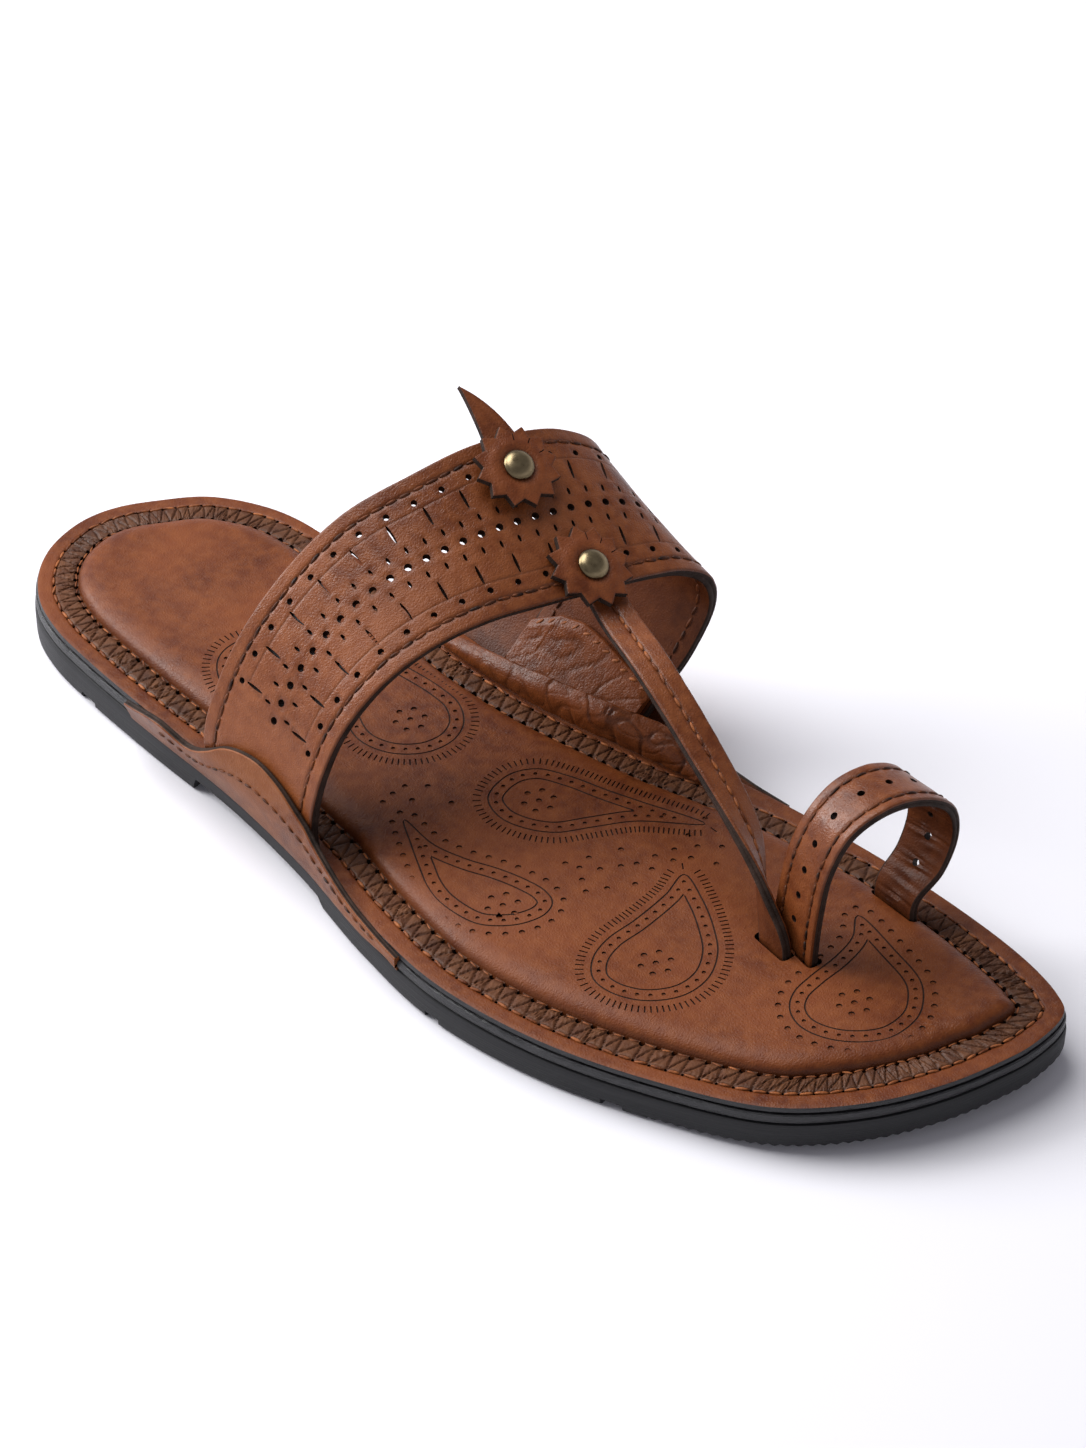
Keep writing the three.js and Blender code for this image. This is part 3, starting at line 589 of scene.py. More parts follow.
footbed_leather = tanned_leather("footbed_leather", "#6A3414", "#4F220B", "#7A431E")
strip_leather = tanned_leather("gathered_leather", "#55301A", "#3C2010", "#6D4529", gloss=0.5)
# Dark walls for holes, dents, pressed lines and slots: the dark of cut leather deepened with painted shade of
# the recess.
punched_edge = tanned_leather("punched_edge", "#24130B", "#1A0D07", "#3A2115", gloss=0.7)
side_rows = [
    (pad_foot + 3 * MM, 0, 0, "bottom"), (1.3 * MM, 0, 0, "bottom"), (sheet_inset, 0, 0.3 * MM, "bottom"),
    (sheet_inset, 0, -0.45 * MM, "top"), (1.05 * MM, 0, -0.12 * MM, "top"), (1.5 * MM, 0, 0, "top"),
]
flat_insets = [2.2, 3.0, 3.7, 4.0, 4.25, 4.5, 4.75, 5.0, *np.arange(5.3, 9.7, 0.33),
               9.7, 10, 10.3, 10.7, 11.5, 13.7]
sheet_profile = side_rows + [(inset * MM, 0, 0, "top") for inset in flat_insets]


def lacing_relief(run, inset, row, plan):
    """The sunk stitch line, the gathered folds of the strip and the dents at its holes, with painted shade in
    the creases, the stitch groove and the dent at the hole line.
    """
    across = (inset - stitch_line) / (hole_line - stitch_line)
    on_strip = np.clip(across * 8, 0, 1) * np.clip((1.06 - across) * 10, 0, 1)
    beat = run / lacing_pitch + 0.10 * wander(run, inset, 3, 9 * MM)
    one = np.abs(np.mod(beat - across / 2 + 0.5, 1) - 0.5)
    other = np.abs(np.mod(beat + across / 2 + 0.5, 1) - 0.5)
    crease = bell(one, 0.075) + bell(other, 0.075)
    fine = np.sin(math.tau * 5 * (beat + 0.2 * across + 0.15 * wander(run, inset, 5, 5 * MM)))
    fine *= 0.5 + 0.5 * wander(run, inset, 8, 14 * MM)
    lift = on_strip * (0.30 * MM - 0.42 * MM * np.minimum(crease, 1.2) + 0.14 * MM * fine)
    groove = bell(inset - stitch_line, 0.35 * MM)
    foot = bell(inset - hole_line, 0.6 * MM)
    lift -= groove * 0.3 * MM + foot * 0.25 * MM
    # Painted shade: darker in the creases, the stitch groove and the dent at the hole line, less of it on the
    # fine ridges.
    shade = on_strip * np.clip(0.5 * crease - 0.25 * fine, 0, 1) + 0.35 * groove + 0.5 * foot
    top_rows = row >= len(side_rows)
    return np.where(top_rows, lift, 0), np.where(top_rows, np.clip(shade, 0, 0.9), 0)


heights = {"bottom": sheet_bottom, "top": sheet_top}
sheet_finishes = [2] * (len(side_rows) - 2)
sheet_finishes += [int(stitch_line < row[0] < pad_foot) for row in sheet_profile[len(side_rows) - 2:-1]]
bm = sole_ring(sheet_columns, sheet_profile, heights, lacing_relief, rim_extra, sheet_finishes)
footbed_sheet = finish_mesh(bm, "footbed_sheet", [footbed_leather, strip_leather, board_edge], 60)

lacing_count = round(loop_length / lacing_pitch)


def sheet_spot(share, inset, lift):
    """Places on the footbed's rim, with the way along it and the way out of it at each."""
    def at(s):
        moved = inset + rim_extra(s)
        plan = inset_at(s, moved)
        return np.column_stack([plan, sheet_top(plan[:, 0]) + lift])

    here, ahead = at(share), at(np.mod(share + 0.0005, 1))
    along = unit(ahead - here)
    return here, along, unit(np.cross(np.cross(along, (0, 0, 1)), along))


def spot_matrix(point, along, up):
    """Matrix that lays x along the way, z out of the surface, at a point."""
    side = np.cross(up, along)
    return Matrix.Translation(Vector(point)) @ Matrix((along, side, up)).transposed().to_4x4()


def holes_cutter(bm, points, alongs, ups, diameter, depth, sides=8):
    """Adds a round hole's cutter at each place."""
    for point, along, up in zip(points, alongs, ups):
        bmesh.ops.create_cone(
            bm, cap_ends=True, segments=sides, radius1=diameter / 2 * 0.8, radius2=diameter / 2 * 1.15,
            depth=2 * depth, matrix=spot_matrix(point, along, up),
        )


def stitch_row(name, points, alongs, ups, length, thickness, materials, jitter=0.12, seed=1):
    """A row of thread stitches: each a small bead drawn out along the row."""
    random = np.random.default_rng(seed)
    bm = bmesh.new()
    for point, along, up in zip(points, alongs, ups):
        twist = Matrix.Rotation(random.normal(0, jitter), 4, "Z")
        grow = random.uniform(0.85, 1.1, 3)
        size = Matrix.Diagonal((length / 2 * grow[0], thickness / 2 * grow[1], thickness / 2 * grow[2], 1))
        bmesh.ops.create_uvsphere(bm, u_segments=8, v_segments=5, radius=1,
                                  matrix=spot_matrix(point, along, up) @ twist @ size)
    return finish_mesh(bm, name, materials, 80)


# Waxed thread: a soft sheen, a colour that is uneven from stitch to stitch, and fine plies.
def waxed_thread(name, low, high):
    material, tree = new_material(name)
    on = node(tree, "ShaderNodeTexCoord")
    ply = node(tree, "ShaderNodeTexNoise", Vector=on.outputs["Object"], Scale=1600.0, Detail=2.0)
    fade = node(tree, "ShaderNodeTexNoise", Vector=on.outputs["Object"], Scale=260.0, Detail=2.0)
    mix = node(tree, "ShaderNodeMapRange", Value=fade.outputs["Fac"], From_Min=0.35, From_Max=0.65)
    tone = node(tree, "ShaderNodeMix", {"data_type": "RGBA"}, in0=mix.outputs[0], in6=low, in7=high)
    bump = node(tree, "ShaderNodeBump", Height=ply.outputs["Fac"], Distance=0.2 * MM, Strength=0.6)
    shader = node(tree, "ShaderNodeBsdfPrincipled", Base_Color=tone.outputs[2], Roughness=0.5,
                  Specular_IOR_Level=0.2, Normal=bump.outputs["Normal"])
    node(tree, "ShaderNodeOutputMaterial", Surface=shader.outputs["BSDF"])
    return material


rust_thread = waxed_thread("rust_thread", "#54280F", "#96582F")
dark_thread = waxed_thread("dark_thread", "#241108", "#653518")

hole_shares = np.arange(lacing_count) / lacing_count
between_shares = (np.arange(lacing_count) + 0.5) / lacing_count
bm = bmesh.new()
holes_cutter(bm, *sheet_spot(hole_shares, stitch_line, -0.1 * MM), rim_hole, 0.9 * MM, 6)
holes_cutter(bm, *sheet_spot(between_shares, hole_line, -0.1 * MM), strip_hole, 1.3 * MM, 8)
# The hole walls take the dark cut-wall leather with painted shade.
cut(footbed_sheet, bm, "rim_holes", punched_edge)
put_down(footbed_sheet, "leather_footbed", "footbed")
outer_stitches = stitch_row("rim_stitches", *sheet_spot(between_shares, stitch_line, 0.02 * MM),
                            rim_stitch, rim_thread, [rust_thread])
inner_stitches = stitch_row("strip_stitches", *sheet_spot(hole_shares, hole_line, -0.05 * MM),
                            strip_stitch, strip_thread, [rust_thread], 0.2, 2)
for piece in (outer_stitches, inner_stitches):
    put_down(piece, "leather_footbed")

# The pad: soft leather drawn over foam, rising steeply at the punched holes, with paisleys,
# dots and combs pressed into it by hot tools.
pad_rows = (
    # how far inside the pad's foot, rise over the sheet
    (-0.3 * MM, -0.9 * MM), (-0.1 * MM, 0.1 * MM), (0.3 * MM, 0.95 * MM), (0.9 * MM, 1.65 * MM),
    (1.8 * MM, 2.2 * MM), (3 * MM, 2.6 * MM), (4.4 * MM, 2.87 * MM), (6 * MM, pad_rise),
)
pad_profile = [(pad_foot + inside, 0, rise, "top") for inside, rise in pad_rows]
pad_profile += [(pad_foot + 6 * MM, share, pad_rise, "top") for share in np.linspace(0.05, 1, 22)]


def pad_swell(x, y):
    return 0.22 * MM * wander(x, y, 12, 55 * MM)


def pad_relief(run, inset, row, plan):
    """Slow swells of the foam and the pull towards the seam, with painted shade at the pad's foot."""
    lift = np.clip((row - 1) / 6, 0, 1) * pad_swell(plan[:, 0], plan[:, 1])
    # Painted shade along the pad's foot.
    shade = 0.42 * bell(row - 1.2, 1.6)
    return lift, shade


bm = sole_ring(pad_columns, pad_profile, heights, pad_relief, rim_extra)
bmesh.ops.triangulate(bm, faces=[face for face in bm.faces if len(face.verts) > 4])
pad = finish_mesh(bm, "footbed_pad", [footbed_leather], 60)

# The pattern on the pad: paisleys, each a double line with dots between, a seven-dot flower in
# its belly and either a comb or a string of dots round it, and loose dots where they meet.
line_gap = 3.4 * MM
line_radius = 0.22 * MM
pressed_depth = 0.38 * MM
flower_pitch = 3.6 * MM
petal_size = 1.7 * MM
border_dot = 1.15 * MM
border_dot_pitch = 3.0 * MM
outer_dot = 1.65 * MM
outer_dot_pitch = 3.8 * MM
outer_dots_off = 2.6 * MM
loose_dot = 1.6 * MM
comb_pitch = 1.2 * MM
comb_from = 1.7 * MM
comb_to = 3.7 * MM
comb_bar = 0.34 * MM
paisleys = (
    # what runs round it, the flower's middle, then points along the outer line in millimetres
    ("dots", (173, -29.5), (
        (136.9, -24.7), (147.6, -26), (156.7, -24.3), (164.1, -21.7), (171.3, -20), (177, -19.6),
        (180.7, -21.1), (182, -24.9), (180.6, -29.9), (177.5, -34.1), (172.2, -37.8), (162.3, -38.5),
        (156.2, -36.8), (150.3, -33.5), (143.8, -29.5),
    )),
    ("comb", (155.5, 1.5), (
        (189, 22.4), (176.5, 11.8), (170.7, 3.7), (165.3, -4), (158.3, -8), (152, -8.8), (146.1, -5.9),
        (144.4, 3), (147.7, 9.2), (155.3, 12.7), (164.8, 15.1), (173.8, 17.8),
    )),
    ("comb", (210.5, -19), (
        (196.5, 6.5), (197.7, -1.2), (198, -12.1), (197.6, -21.2), (199.4, -27.9), (203.6, -32.5),
        (209.2, -33.1), (216.4, -29.8), (221.7, -22.5), (222.3, -14.7), (218.7, -7.2), (212.8, -1.8),
        (205, 3.2),
    )),
    ("dots", (251.5, 1.5), (
        (234.2, 23.6), (237.8, 17.4), (239, 10), (238.9, 1.4), (239.5, -5.2), (242.2, -9.8), (247.1, -12.2),
        (253.6, -11.3), (260, -7.3), (264.5, -1), (265, 7.1), (262.2, 12.7), (257.8, 16.9), (248.6, 20.3),
    )),
    ("comb", (114.5, 0.5), (
        (80, 12), (88, 3), (96, -4), (103, -10), (111, -13), (119, -11), (125, -5), (126.7, 2.4),
        (124.5, 8.5), (119, 12.6), (112, 13.5), (103, 13), (93, 12),
    )),
    ("comb", (75, -12), (
        (104, -24), (96, -24), (88, -24), (79, -23.5), (71, -21), (66, -16), (65, -10), (68, -4),
        (75, -1.5), (83, -3), (90, -9), (97, -17),
    )),
)
loose_dots = (
    (129.2, -23.9), (141.1, -13.1), (129.3, -16.6), (133.2, -12.9), (128.9, -20.3), (133.7, -18.7),
    (180.4, 2.6), (180.7, -11.1), (189.9, 2.7), (186.7, -9.1), (184.1, -1.5), (176.9, -4.6), (187.6, 6.4),
    (181.3, -5.6), (177.6, -8.6), (190.4, -3.6), (186.2, 1.6), (174.3, -9.8), (191.6, 8.2), (183.9, -13.3),
    (187.8, 23.8), (196.8, 19.4), (189.4, 11.1), (188.6, 16.9), (194, 11.7), (192.6, 15.6), (199.6, 14.2),
)


def pad_top(points):
    """The same plan points, in metres, laid on the pad."""
    x, y = points.T
    return np.column_stack([x, y, sheet_top(x) + pad_rise + pad_swell(x, y)])


def turn_of(loop):
    """1 for a loop that runs anticlockwise, -1 for a clockwise one."""
    return np.sign(np.sum(loop[:, 0] * np.roll(loop[:, 1], -1) - loop[:, 1] * np.roll(loop[:, 0], -1)))


def offset_loop(loop, distance):
    """A closed loop of plan points moved inwards by a distance, without its crossed-over corners."""
    way = unit(np.roll(loop, -1, axis=0) - np.roll(loop, 1, axis=0))
    moved = loop + turn_of(loop) * distance * np.stack([-way[:, 1], way[:, 0]], axis=1)
    gaps = np.linalg.norm(moved[:, None] - loop[None], axis=2).min(axis=1)
    return moved[gaps > abs(distance) * 0.985]


def even_points(loop, pitch):
    """Points at an even pitch round a closed loop, and the way along it at each."""
    closed_loop = np.vstack([loop, loop[:1]])
    run = run_of(closed_loop)
    places = np.arange(round(run[-1] / pitch)) * run[-1] / round(run[-1] / pitch)
    here, ahead = (
        np.stack([np.interp(np.mod(places + step, run[-1]), run, column) for column in closed_loop.T], axis=1)
        for step in (0, 0.2 * MM)
    )
    return here, unit(ahead - here)


def press_line(bm, loop, pitch=0.8 * MM):
    """Adds a closed tube along a loop, half sunk in the pad."""
    here, way = even_points(loop, pitch)
    centre = pad_top(here) + (0, 0, 0.04 * MM)
    side = np.column_stack([-way[:, 1], way[:, 0], 0 * way[:, 0]])

    def place(column, row):
        at = np.mod(column, len(here))
        angle = math.tau * row / 6
        round_way = side[at] * np.cos(angle)[:, None] + np.array([0, 0, 1]) * np.sin(angle)[:, None]
        return centre[at] + round_way * line_radius, np.zeros((len(at), 2)), np.zeros(len(at))

    tube = laid_grid(len(here), 6, place)
    mesh = bpy.data.meshes.new("pressed_line")
    tube.to_mesh(mesh)
    tube.free()
    bm.from_mesh(mesh)
    bpy.data.meshes.remove(mesh)


def press_dots(bm, points, diameter):
    """Adds round dents whose floor keeps the pad's own leather."""
    for point in pad_top(points):
        made = bmesh.ops.create_cone(
            bm, cap_ends=True, segments=9, radius1=diameter * 0.4, radius2=diameter * 0.5,
            depth=2 * pressed_depth, matrix=Matrix.Translation(point),
        )
        for face in {face for vert in made["verts"] for face in vert.link_faces if len(face.verts) > 4}:
            face.material_index = 1


def press_comb(bm, loop, pitch, near, far, breadth):
    """Adds short bars that stand square to a loop, outside it."""
    here, way = even_points(loop, pitch)
    outward = turn_of(loop) * np.stack([way[:, 1], -way[:, 0]], axis=1)
    for point, out in zip(pad_top(here + outward * (near + far) / 2), outward):
        turned = Matrix.Rotation(math.atan2(out[1], out[0]), 4, "Z")
        size = Matrix.Diagonal((far - near, breadth, 2 * pressed_depth, 1))
        bmesh.ops.create_cube(bm, size=1, matrix=Matrix.Translation(point) @ turned @ size)


bm = bmesh.new()
for around, flower, outline in paisleys:
    outer_line = rail(np.array(outline) * MM, closed=True)(np.linspace(0, 1, 400, endpoint=False))
    press_line(bm, outer_line)
    press_line(bm, offset_loop(outer_line, line_gap))
    press_dots(bm, even_points(offset_loop(outer_line, line_gap / 2), border_dot_pitch)[0], border_dot)
    petals = [(math.cos(k * math.tau / 6), math.sin(k * math.tau / 6)) for k in range(6)] + [(0, 0)]
    press_dots(bm, np.array(flower) * MM + np.array(petals) * flower_pitch, petal_size)
    if around == "comb":
        press_comb(bm, outer_line, comb_pitch, comb_from, comb_to, comb_bar)
    else:
        press_dots(bm, even_points(offset_loop(outer_line, -outer_dots_off), outer_dot_pitch)[0], outer_dot)
press_dots(bm, np.array(loose_dots) * MM, loose_dot)
# The pressed walls take the dark cut-wall leather: painted shade inside each dent and line.
cut(pad, bm, "pressed_pattern", punched_edge, footbed_leather)
put_down(pad, "leather_footbed")

# The instep band's surface, which the ears follow from outside: a strap of two leathers that
# rises from the sole's outer edge over the instep and comes down inside the other edge.
instep_rise = 72.2 * MM
band_wall = 2.8 * MM
band_inset = 3.2 * MM
band_rows = (
    # back edge forward, side and up, then the front edge's, as shares of the sole's length, the
    # ball's width and the instep's rise
    (0.312, -0.43, 0.217, 0.440, -0.445, 0.18), (0.3155, -0.375, 0.453, 0.441, -0.415, 0.346),
    (0.322, -0.29, 0.64, 0.4445, -0.35, 0.506), (0.331, -0.165, 0.80, 0.454, -0.245, 0.644),
    (0.343, -0.04, 0.91, 0.466, -0.115, 0.717), (0.3605, 0.11, 0.972, 0.480, 0.02, 0.74),
    (0.374, 0.26, 1, 0.4955, 0.16, 0.724), (0.388, 0.40, 0.986, 0.5105, 0.30, 0.70),
    (0.3985, 0.50, 0.938, 0.5235, 0.42, 0.679), (0.409, 0.58, 0.848, 0.534, 0.515, 0.644),
    (0.414, 0.61, 0.716, 0.5425, 0.58, 0.575), (0.411, 0.58, 0.508, 0.544, 0.60, 0.457),
    (0.402, 0.49, 0.273, 0.5405, 0.545, 0.298), (0.397, 0.42, 0.134, 0.534, 0.465, 0.166),
)
band_feet = {False: (0.312, 0.440), True: (0.393, 0.527)}
foot_fade = (0.12, 0.3)


def foot_point(medial, across):
    """Where the band's foot stands between sole and ear, for a place across it."""
    back, front = band_feet[medial]
    x = (back + (front - back) * across) * sole_length
    inward = -band_inset if medial else band_inset
    return np.stack([x, side_at(x, medial) + inward, sole_top(x) + clearance], axis=-1)


def band_edge(first, across):
    points = np.array([row[first:first + 3] for row in band_rows]) * (sole_length, ball_width, instep_rise)
    points[:, 2] += sole_top(points[:, 0])
    feet = [foot_point(medial, np.float64(across)) for medial in (False, True)]
    return rail([feet[0], *points, feet[1]])


back_edge = band_edge(0, 0)
front_edge = band_edge(3, 1)


def band_point(along, across):
    """Point of the band's middle surface, from the outer to the inner foot and back to front.
    Past the edges it follows the sole's outline."""
    inside = np.clip(across, 0, 1)
    back, front = back_edge(along), front_edge(along)
    point = back + (front - back) * inside[..., None]
    near = np.clip((np.minimum(along, 1 - along) - foot_fade[0]) / (foot_fade[1] - foot_fade[0]), 0, 1)
    fade = 1 - eased(near)
    for medial in (False, True):
        chord_back, chord_front = foot_point(medial, 0 * along), foot_point(medial, 0 * along + 1)
        chord = chord_back + (chord_front - chord_back) * inside[..., None]
        use = (along >= 0.5) == medial
        point = point + (foot_point(medial, across) - chord) * (fade * use)[..., None]
    return point


def facing(surface, along, across, step=0.003):
    """Point, way along, way across and outward way of a surface at its two shares, and how long
    a whole share along it and a whole share across it would be."""
    run = surface(along + step, across) - surface(along - step, across)
    forward = surface(along, across + step) - surface(along, across - step)
    speed = np.linalg.norm(run, axis=-1) / (2 * step)
    width = np.linalg.norm(forward, axis=-1) / (2 * step)
    out = unit(np.cross(forward, run))
    return surface(along, across), run / (2 * step), forward / (2 * step), out, speed, width


def strap_section(wall, top_offsets, middle_steps, round_edge=0.45 * MM):
    """Closed section of a cut strap: rows of share across, offset from there, depth, and which
    face it belongs to: 0 the grain side, 1 the cut edge, 2 the lining."""
    half = wall / 2
    last = top_offsets[-1]
    arc = [(math.sin(a), math.cos(a)) for a in np.linspace(0, math.pi / 2, 4)]
    layers = np.linspace(half - round_edge, round_edge - half, 7)
    rough = (0, 0.07, 0.02, -0.16, 0.0, 0.08, 0)
    top = [(0, offset, half, 0) for offset in top_offsets]
    top += [(k, last * (1 - 2 * k), half, 0) for k in np.linspace(0, 1, middle_steps + 1)[1:-1]]
    top += [(1, -offset, half, 0) for offset in reversed(top_offsets)]
    corner = [(1, -round_edge * (1 - s), half - round_edge * (1 - c), 0) for s, c in arc]
    edge = [(1, r * MM, depth, 1) for r, depth in zip(rough, layers)]
    under = [(1, -round_edge * (1 - c), -half + round_edge * (1 - s), 1) for s, c in arc]
    front = corner + edge[1:-1] + under
    back = [(1 - share, -offset, depth, face) for share, offset, depth, face in reversed(front)]
    inner = [(1 - k, last * (2 * k - 1) if 0 < k < 1 else 0, -half, 2) for k in np.linspace(0, 1, 13)[1:-1]]
    return top[1:-1] + front + inner + back


def ribbon(name, surface, columns, section, materials, relief=None, ends=(0, 1), smooth=50):
    """A strap laid on a surface with a closed section, its cut edges and lining told apart."""
    rows = section + section[:1]
    table = np.array([row[:3] for row in rows], float)
    faces = [row[3] for row in rows]

    def place(column, row):
        along = ends[0] + (ends[1] - ends[0]) * column / columns
        share, offset, depth = table[row].T
        across = share + offset / facing(surface, along, share * 0 + 0.5)[5]
        inside = np.clip(across, 0.004, 0.996)
        point, _, forward, out, speed, width = facing(surface, along, inside)
        point = point + forward * (across - inside)[:, None]
        lift, shade = np.zeros(len(along)), np.zeros(len(along))
        if relief:
            lift, shade = relief(along, across, across * width, (1 - across) * width, speed,
                                 np.array(faces)[row])
        points = point + out * (depth + lift)[:, None]
        flat = np.stack([along * speed, across * width], axis=1)
        return points, flat, shade

    finishes = [max(a, b) if 2 not in (a, b) else 2 for a, b in zip(faces, faces[1:])]
    bm = laid_grid(columns, len(rows) - 1, place, finishes=finishes)
    return finish_mesh(bm, name, materials, smooth)


def surface_spots(surface, along, across, lift):
    """Places on a surface for stitches and holes: point, way along and way out."""
    point, run, _, out, _, _ = facing(surface, along, across)
    return point + out * lift, unit(run), out


def punch(bm, surface, along, across, breadth, length, wall, sides, lift=0):
    """Adds a straight punch through a strap at each place along it."""
    size = Matrix.Diagonal((breadth, length, 4 * wall, 1))
    for point, run, out in zip(*surface_spots(surface, along, along * 0 + across, lift)):
        bmesh.ops.create_cone(bm, cap_ends=True, segments=sides, radius1=0.5, radius2=0.5, depth=1,
                              matrix=spot_matrix(point, run, out) @ size)


def paced(surface, across, pitch, first, last):
    """Shares along a surface at an even pitch, where across may change along it."""
    along = np.linspace(first, last, 1200)
    points = surface(along, across(along) if callable(across) else along * 0 + across)
    run = run_of(points)
    return np.interp(np.arange(pitch / 2, run[-1], pitch), run, along)


seam_thread = 0.85 * MM


def edge_seam(name, surface, inset, pitch, ends, lift, thread, seed, from_end=False):
    """A row of stitches at an even distance from one edge of a strap."""
    def across(along):
        share = inset / facing(surface, along, along * 0 + 0.5)[5]
        return 1 - share if from_end else share

    along = paced(surface, across, pitch, *ends)
    spots = surface_spots(surface, along, across(along), lift)
    row = stitch_row(name, *spots, 0.92 * pitch, seam_thread, [thread], 0.08, seed)
    put_down(row, "leather_strap")


upper_leather = tanned_leather("upper_leather", "#743C19", "#58290F", "#854C27", gloss=0.36, sheen=0.3)
cut_leather = tanned_leather("cut_leather_edge", "#2B1D15", "#1C120C", "#43322A", gloss=0.75)
lining_leather = tanned_leather("lining_leather", "#55280F", "#3D1B09", "#673617", gloss=0.45,
                                 wrinkle=0.1 * MM)

# The ears: a leather flap on each side that comes out between rubber and board, turns up round
# the edge and stands outside the band's foot, sewn near its top.
ear_wall = 1.8 * MM
ear_foot = 9 * MM
ear_seam_up = 0.8
ear_seam_pitch = 3.1 * MM
ear_stitch = 2.6 * MM
ears = (
    # name, is it the inner side, rise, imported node, then rows of share along the sole and share
    # of the rise
    ("ear_outer", False, 20 * MM, "ear_lateral", (
        (0.208, 0.36), (0.256, 0.55), (0.291, 0.50), (0.319, 0.70), (0.343, 0.92), (0.374, 1), (0.402, 0.92),
        (0.430, 0.74), (0.458, 0.54), (0.503, 0.32), (0.537, 0.24), (0.568, 0.20),
    )),
    ("ear_inner", True, 24 * MM, "ear_medial", (
        (0.300, 0.30), (0.347, 0.52), (0.395, 0.86), (0.440, 0.95), (0.500, 0.74), (0.545, 0.46),
        (0.590, 0.24), (0.630, 0.17), (0.672, 0.14),
    )),
)


def ear_surface(medial, rise, rows):
    """The ear's middle surface: shares along it, run so that its grain faces outwards, and from
    its foot under the board to its top."""
    stations = 160
    path = rail(np.array(rows) * (sole_length, rise))(np.linspace(0, 1, stations))
    back, front = band_feet[medial]
    outward = 1 if medial else -1
    offset = (band_wall + ear_wall) / 2 + clearance
    steps = np.linspace(0, 0.4, 240)
    knots = np.zeros((8, stations, 3))
    for i, (x, height) in enumerate(path):
        across = np.float64((x / sole_length - back) / (front - back))
        foot = foot_point(medial, across)
        sole = sole_top(x) - clearance / 2 - ear_wall / 2
        edge = foot[1] + outward * offset
        knots[0, i] = x, edge - outward * ear_foot, sole
        knots[1, i] = x, edge - outward * ear_wall * 1.2, sole
        knots[2, i] = x, edge - outward * ear_wall * 0.35, sole + ear_wall * 0.3
        along = 1 - steps if medial else steps
        climb = band_point(along, along * 0 + across)
        low = 0.6 * ear_wall
        targets = foot[2] + low + (height - low) * np.linspace(0, 1, 5)
        found = np.interp(targets, climb[:, 2], along)
        here = band_point(found, found * 0 + across)
        run = unit(band_point(found + (-0.01 if medial else 0.01), found * 0 + across) - here)
        way = np.stack([0 * found, outward * run[:, 2], -outward * run[:, 1]], axis=1)
        knots[3:, i] = here + way * offset
    spline = rail(knots.reshape(8, -1))
    fine = spline(np.linspace(0, 1, 90)).reshape(90, stations, 3)

    def surface(along, up):
        a = np.clip(along if medial else 1 - along, 0, 1) * (stations - 1)
        u = np.clip(up, 0, 1) * 89
        i, j = np.minimum(a.astype(int), stations - 2), np.minimum(u.astype(int), 88)
        a, u = (a - i)[:, None], (u - j)[:, None]
        low = fine[j, i] * (1 - a) + fine[j, i + 1] * a
        high = fine[j + 1, i] * (1 - a) + fine[j + 1, i + 1] * a
        return low * (1 - u) + high * u

    return surface


ear_section = strap_section(ear_wall, (0, 0.45 * MM, 1.0 * MM, 2.0 * MM), 34, 0.35 * MM)
ear_leather = tanned_leather("ear_leather", "#74401D", "#592B10", "#875331")
for name, medial, rise, cad_node, rows in ears:
    surface = ear_surface(medial, rise, rows)
    ear = ribbon(name, surface, 260, ear_section, [ear_leather, cut_leather, lining_leather])
    put_down(ear, "leather_ear", cad_node)
    along = paced(surface, ear_seam_up, ear_seam_pitch, 0.08, 0.92)
    spots = surface_spots(surface, along, along * 0 + ear_seam_up, ear_wall / 2 + 0.05 * MM)
    seam = stitch_row(name + "_stitches", *spots, ear_stitch, rim_thread, [dark_thread], 0.1, 4)
    put_down(seam, "leather_ear")

# The band itself: punched with a row of round holes between two rows of pricks, a row of short
# slits on each side and a hole row near each edge, creased beside it and sewn along both edges.
middle_hole = 1.9 * MM
middle_pitch = 4.8 * MM
prick_offset = 4.1 * MM
edge_hole = 1.6 * MM
edge_pitch = 7.3 * MM
edge_hole_inset = 7 * MM
slit_length = 5.2 * MM
slit_breadth = 0.8 * MM
prick_length = 1.9 * MM
prick_breadth = 0.8 * MM
slit_pitch = 9.6 * MM
slit_offset = 9.6 * MM
crease_inset = 8.4 * MM
seam_inset = 3.8 * MM
seam_pitch = 3.6 * MM
pattern_ends = (0.13, 0.86)
lined_from = 0.66
lining_left = 0.5 * MM
band_width = float(np.linalg.norm(back_edge(0.5) - front_edge(0.5)))
punch_rows = (
    # share across, pitch, size along the shoe, size along the band, sides, shift in pitches
    (0.5, middle_pitch, middle_hole, middle_hole, 16, 0),
    (0.5 - prick_offset / band_width, middle_pitch, prick_length, prick_breadth, 10, 0.5),
    (0.5 + prick_offset / band_width, middle_pitch, prick_length, prick_breadth, 10, 0.5),
    (edge_hole_inset / band_width, edge_pitch, edge_hole, edge_hole, 12, 0),
    (1 - edge_hole_inset / band_width, edge_pitch, edge_hole, edge_hole, 12, 0),
    (0.5 - slit_offset / band_width, slit_pitch, slit_length, slit_breadth, 12, 0),
    (0.5 + slit_offset / band_width, slit_pitch, slit_length, slit_breadth, 12, 0),
)
punched = []
for across, pitch, length, breadth, sides, shift in punch_rows:
    along = paced(band_point, across, pitch, *pattern_ends)
    along = along[:-1] + (along[1:] - along[:-1]) * shift if shift else along
    punched.append((across, along, length, breadth, sides))


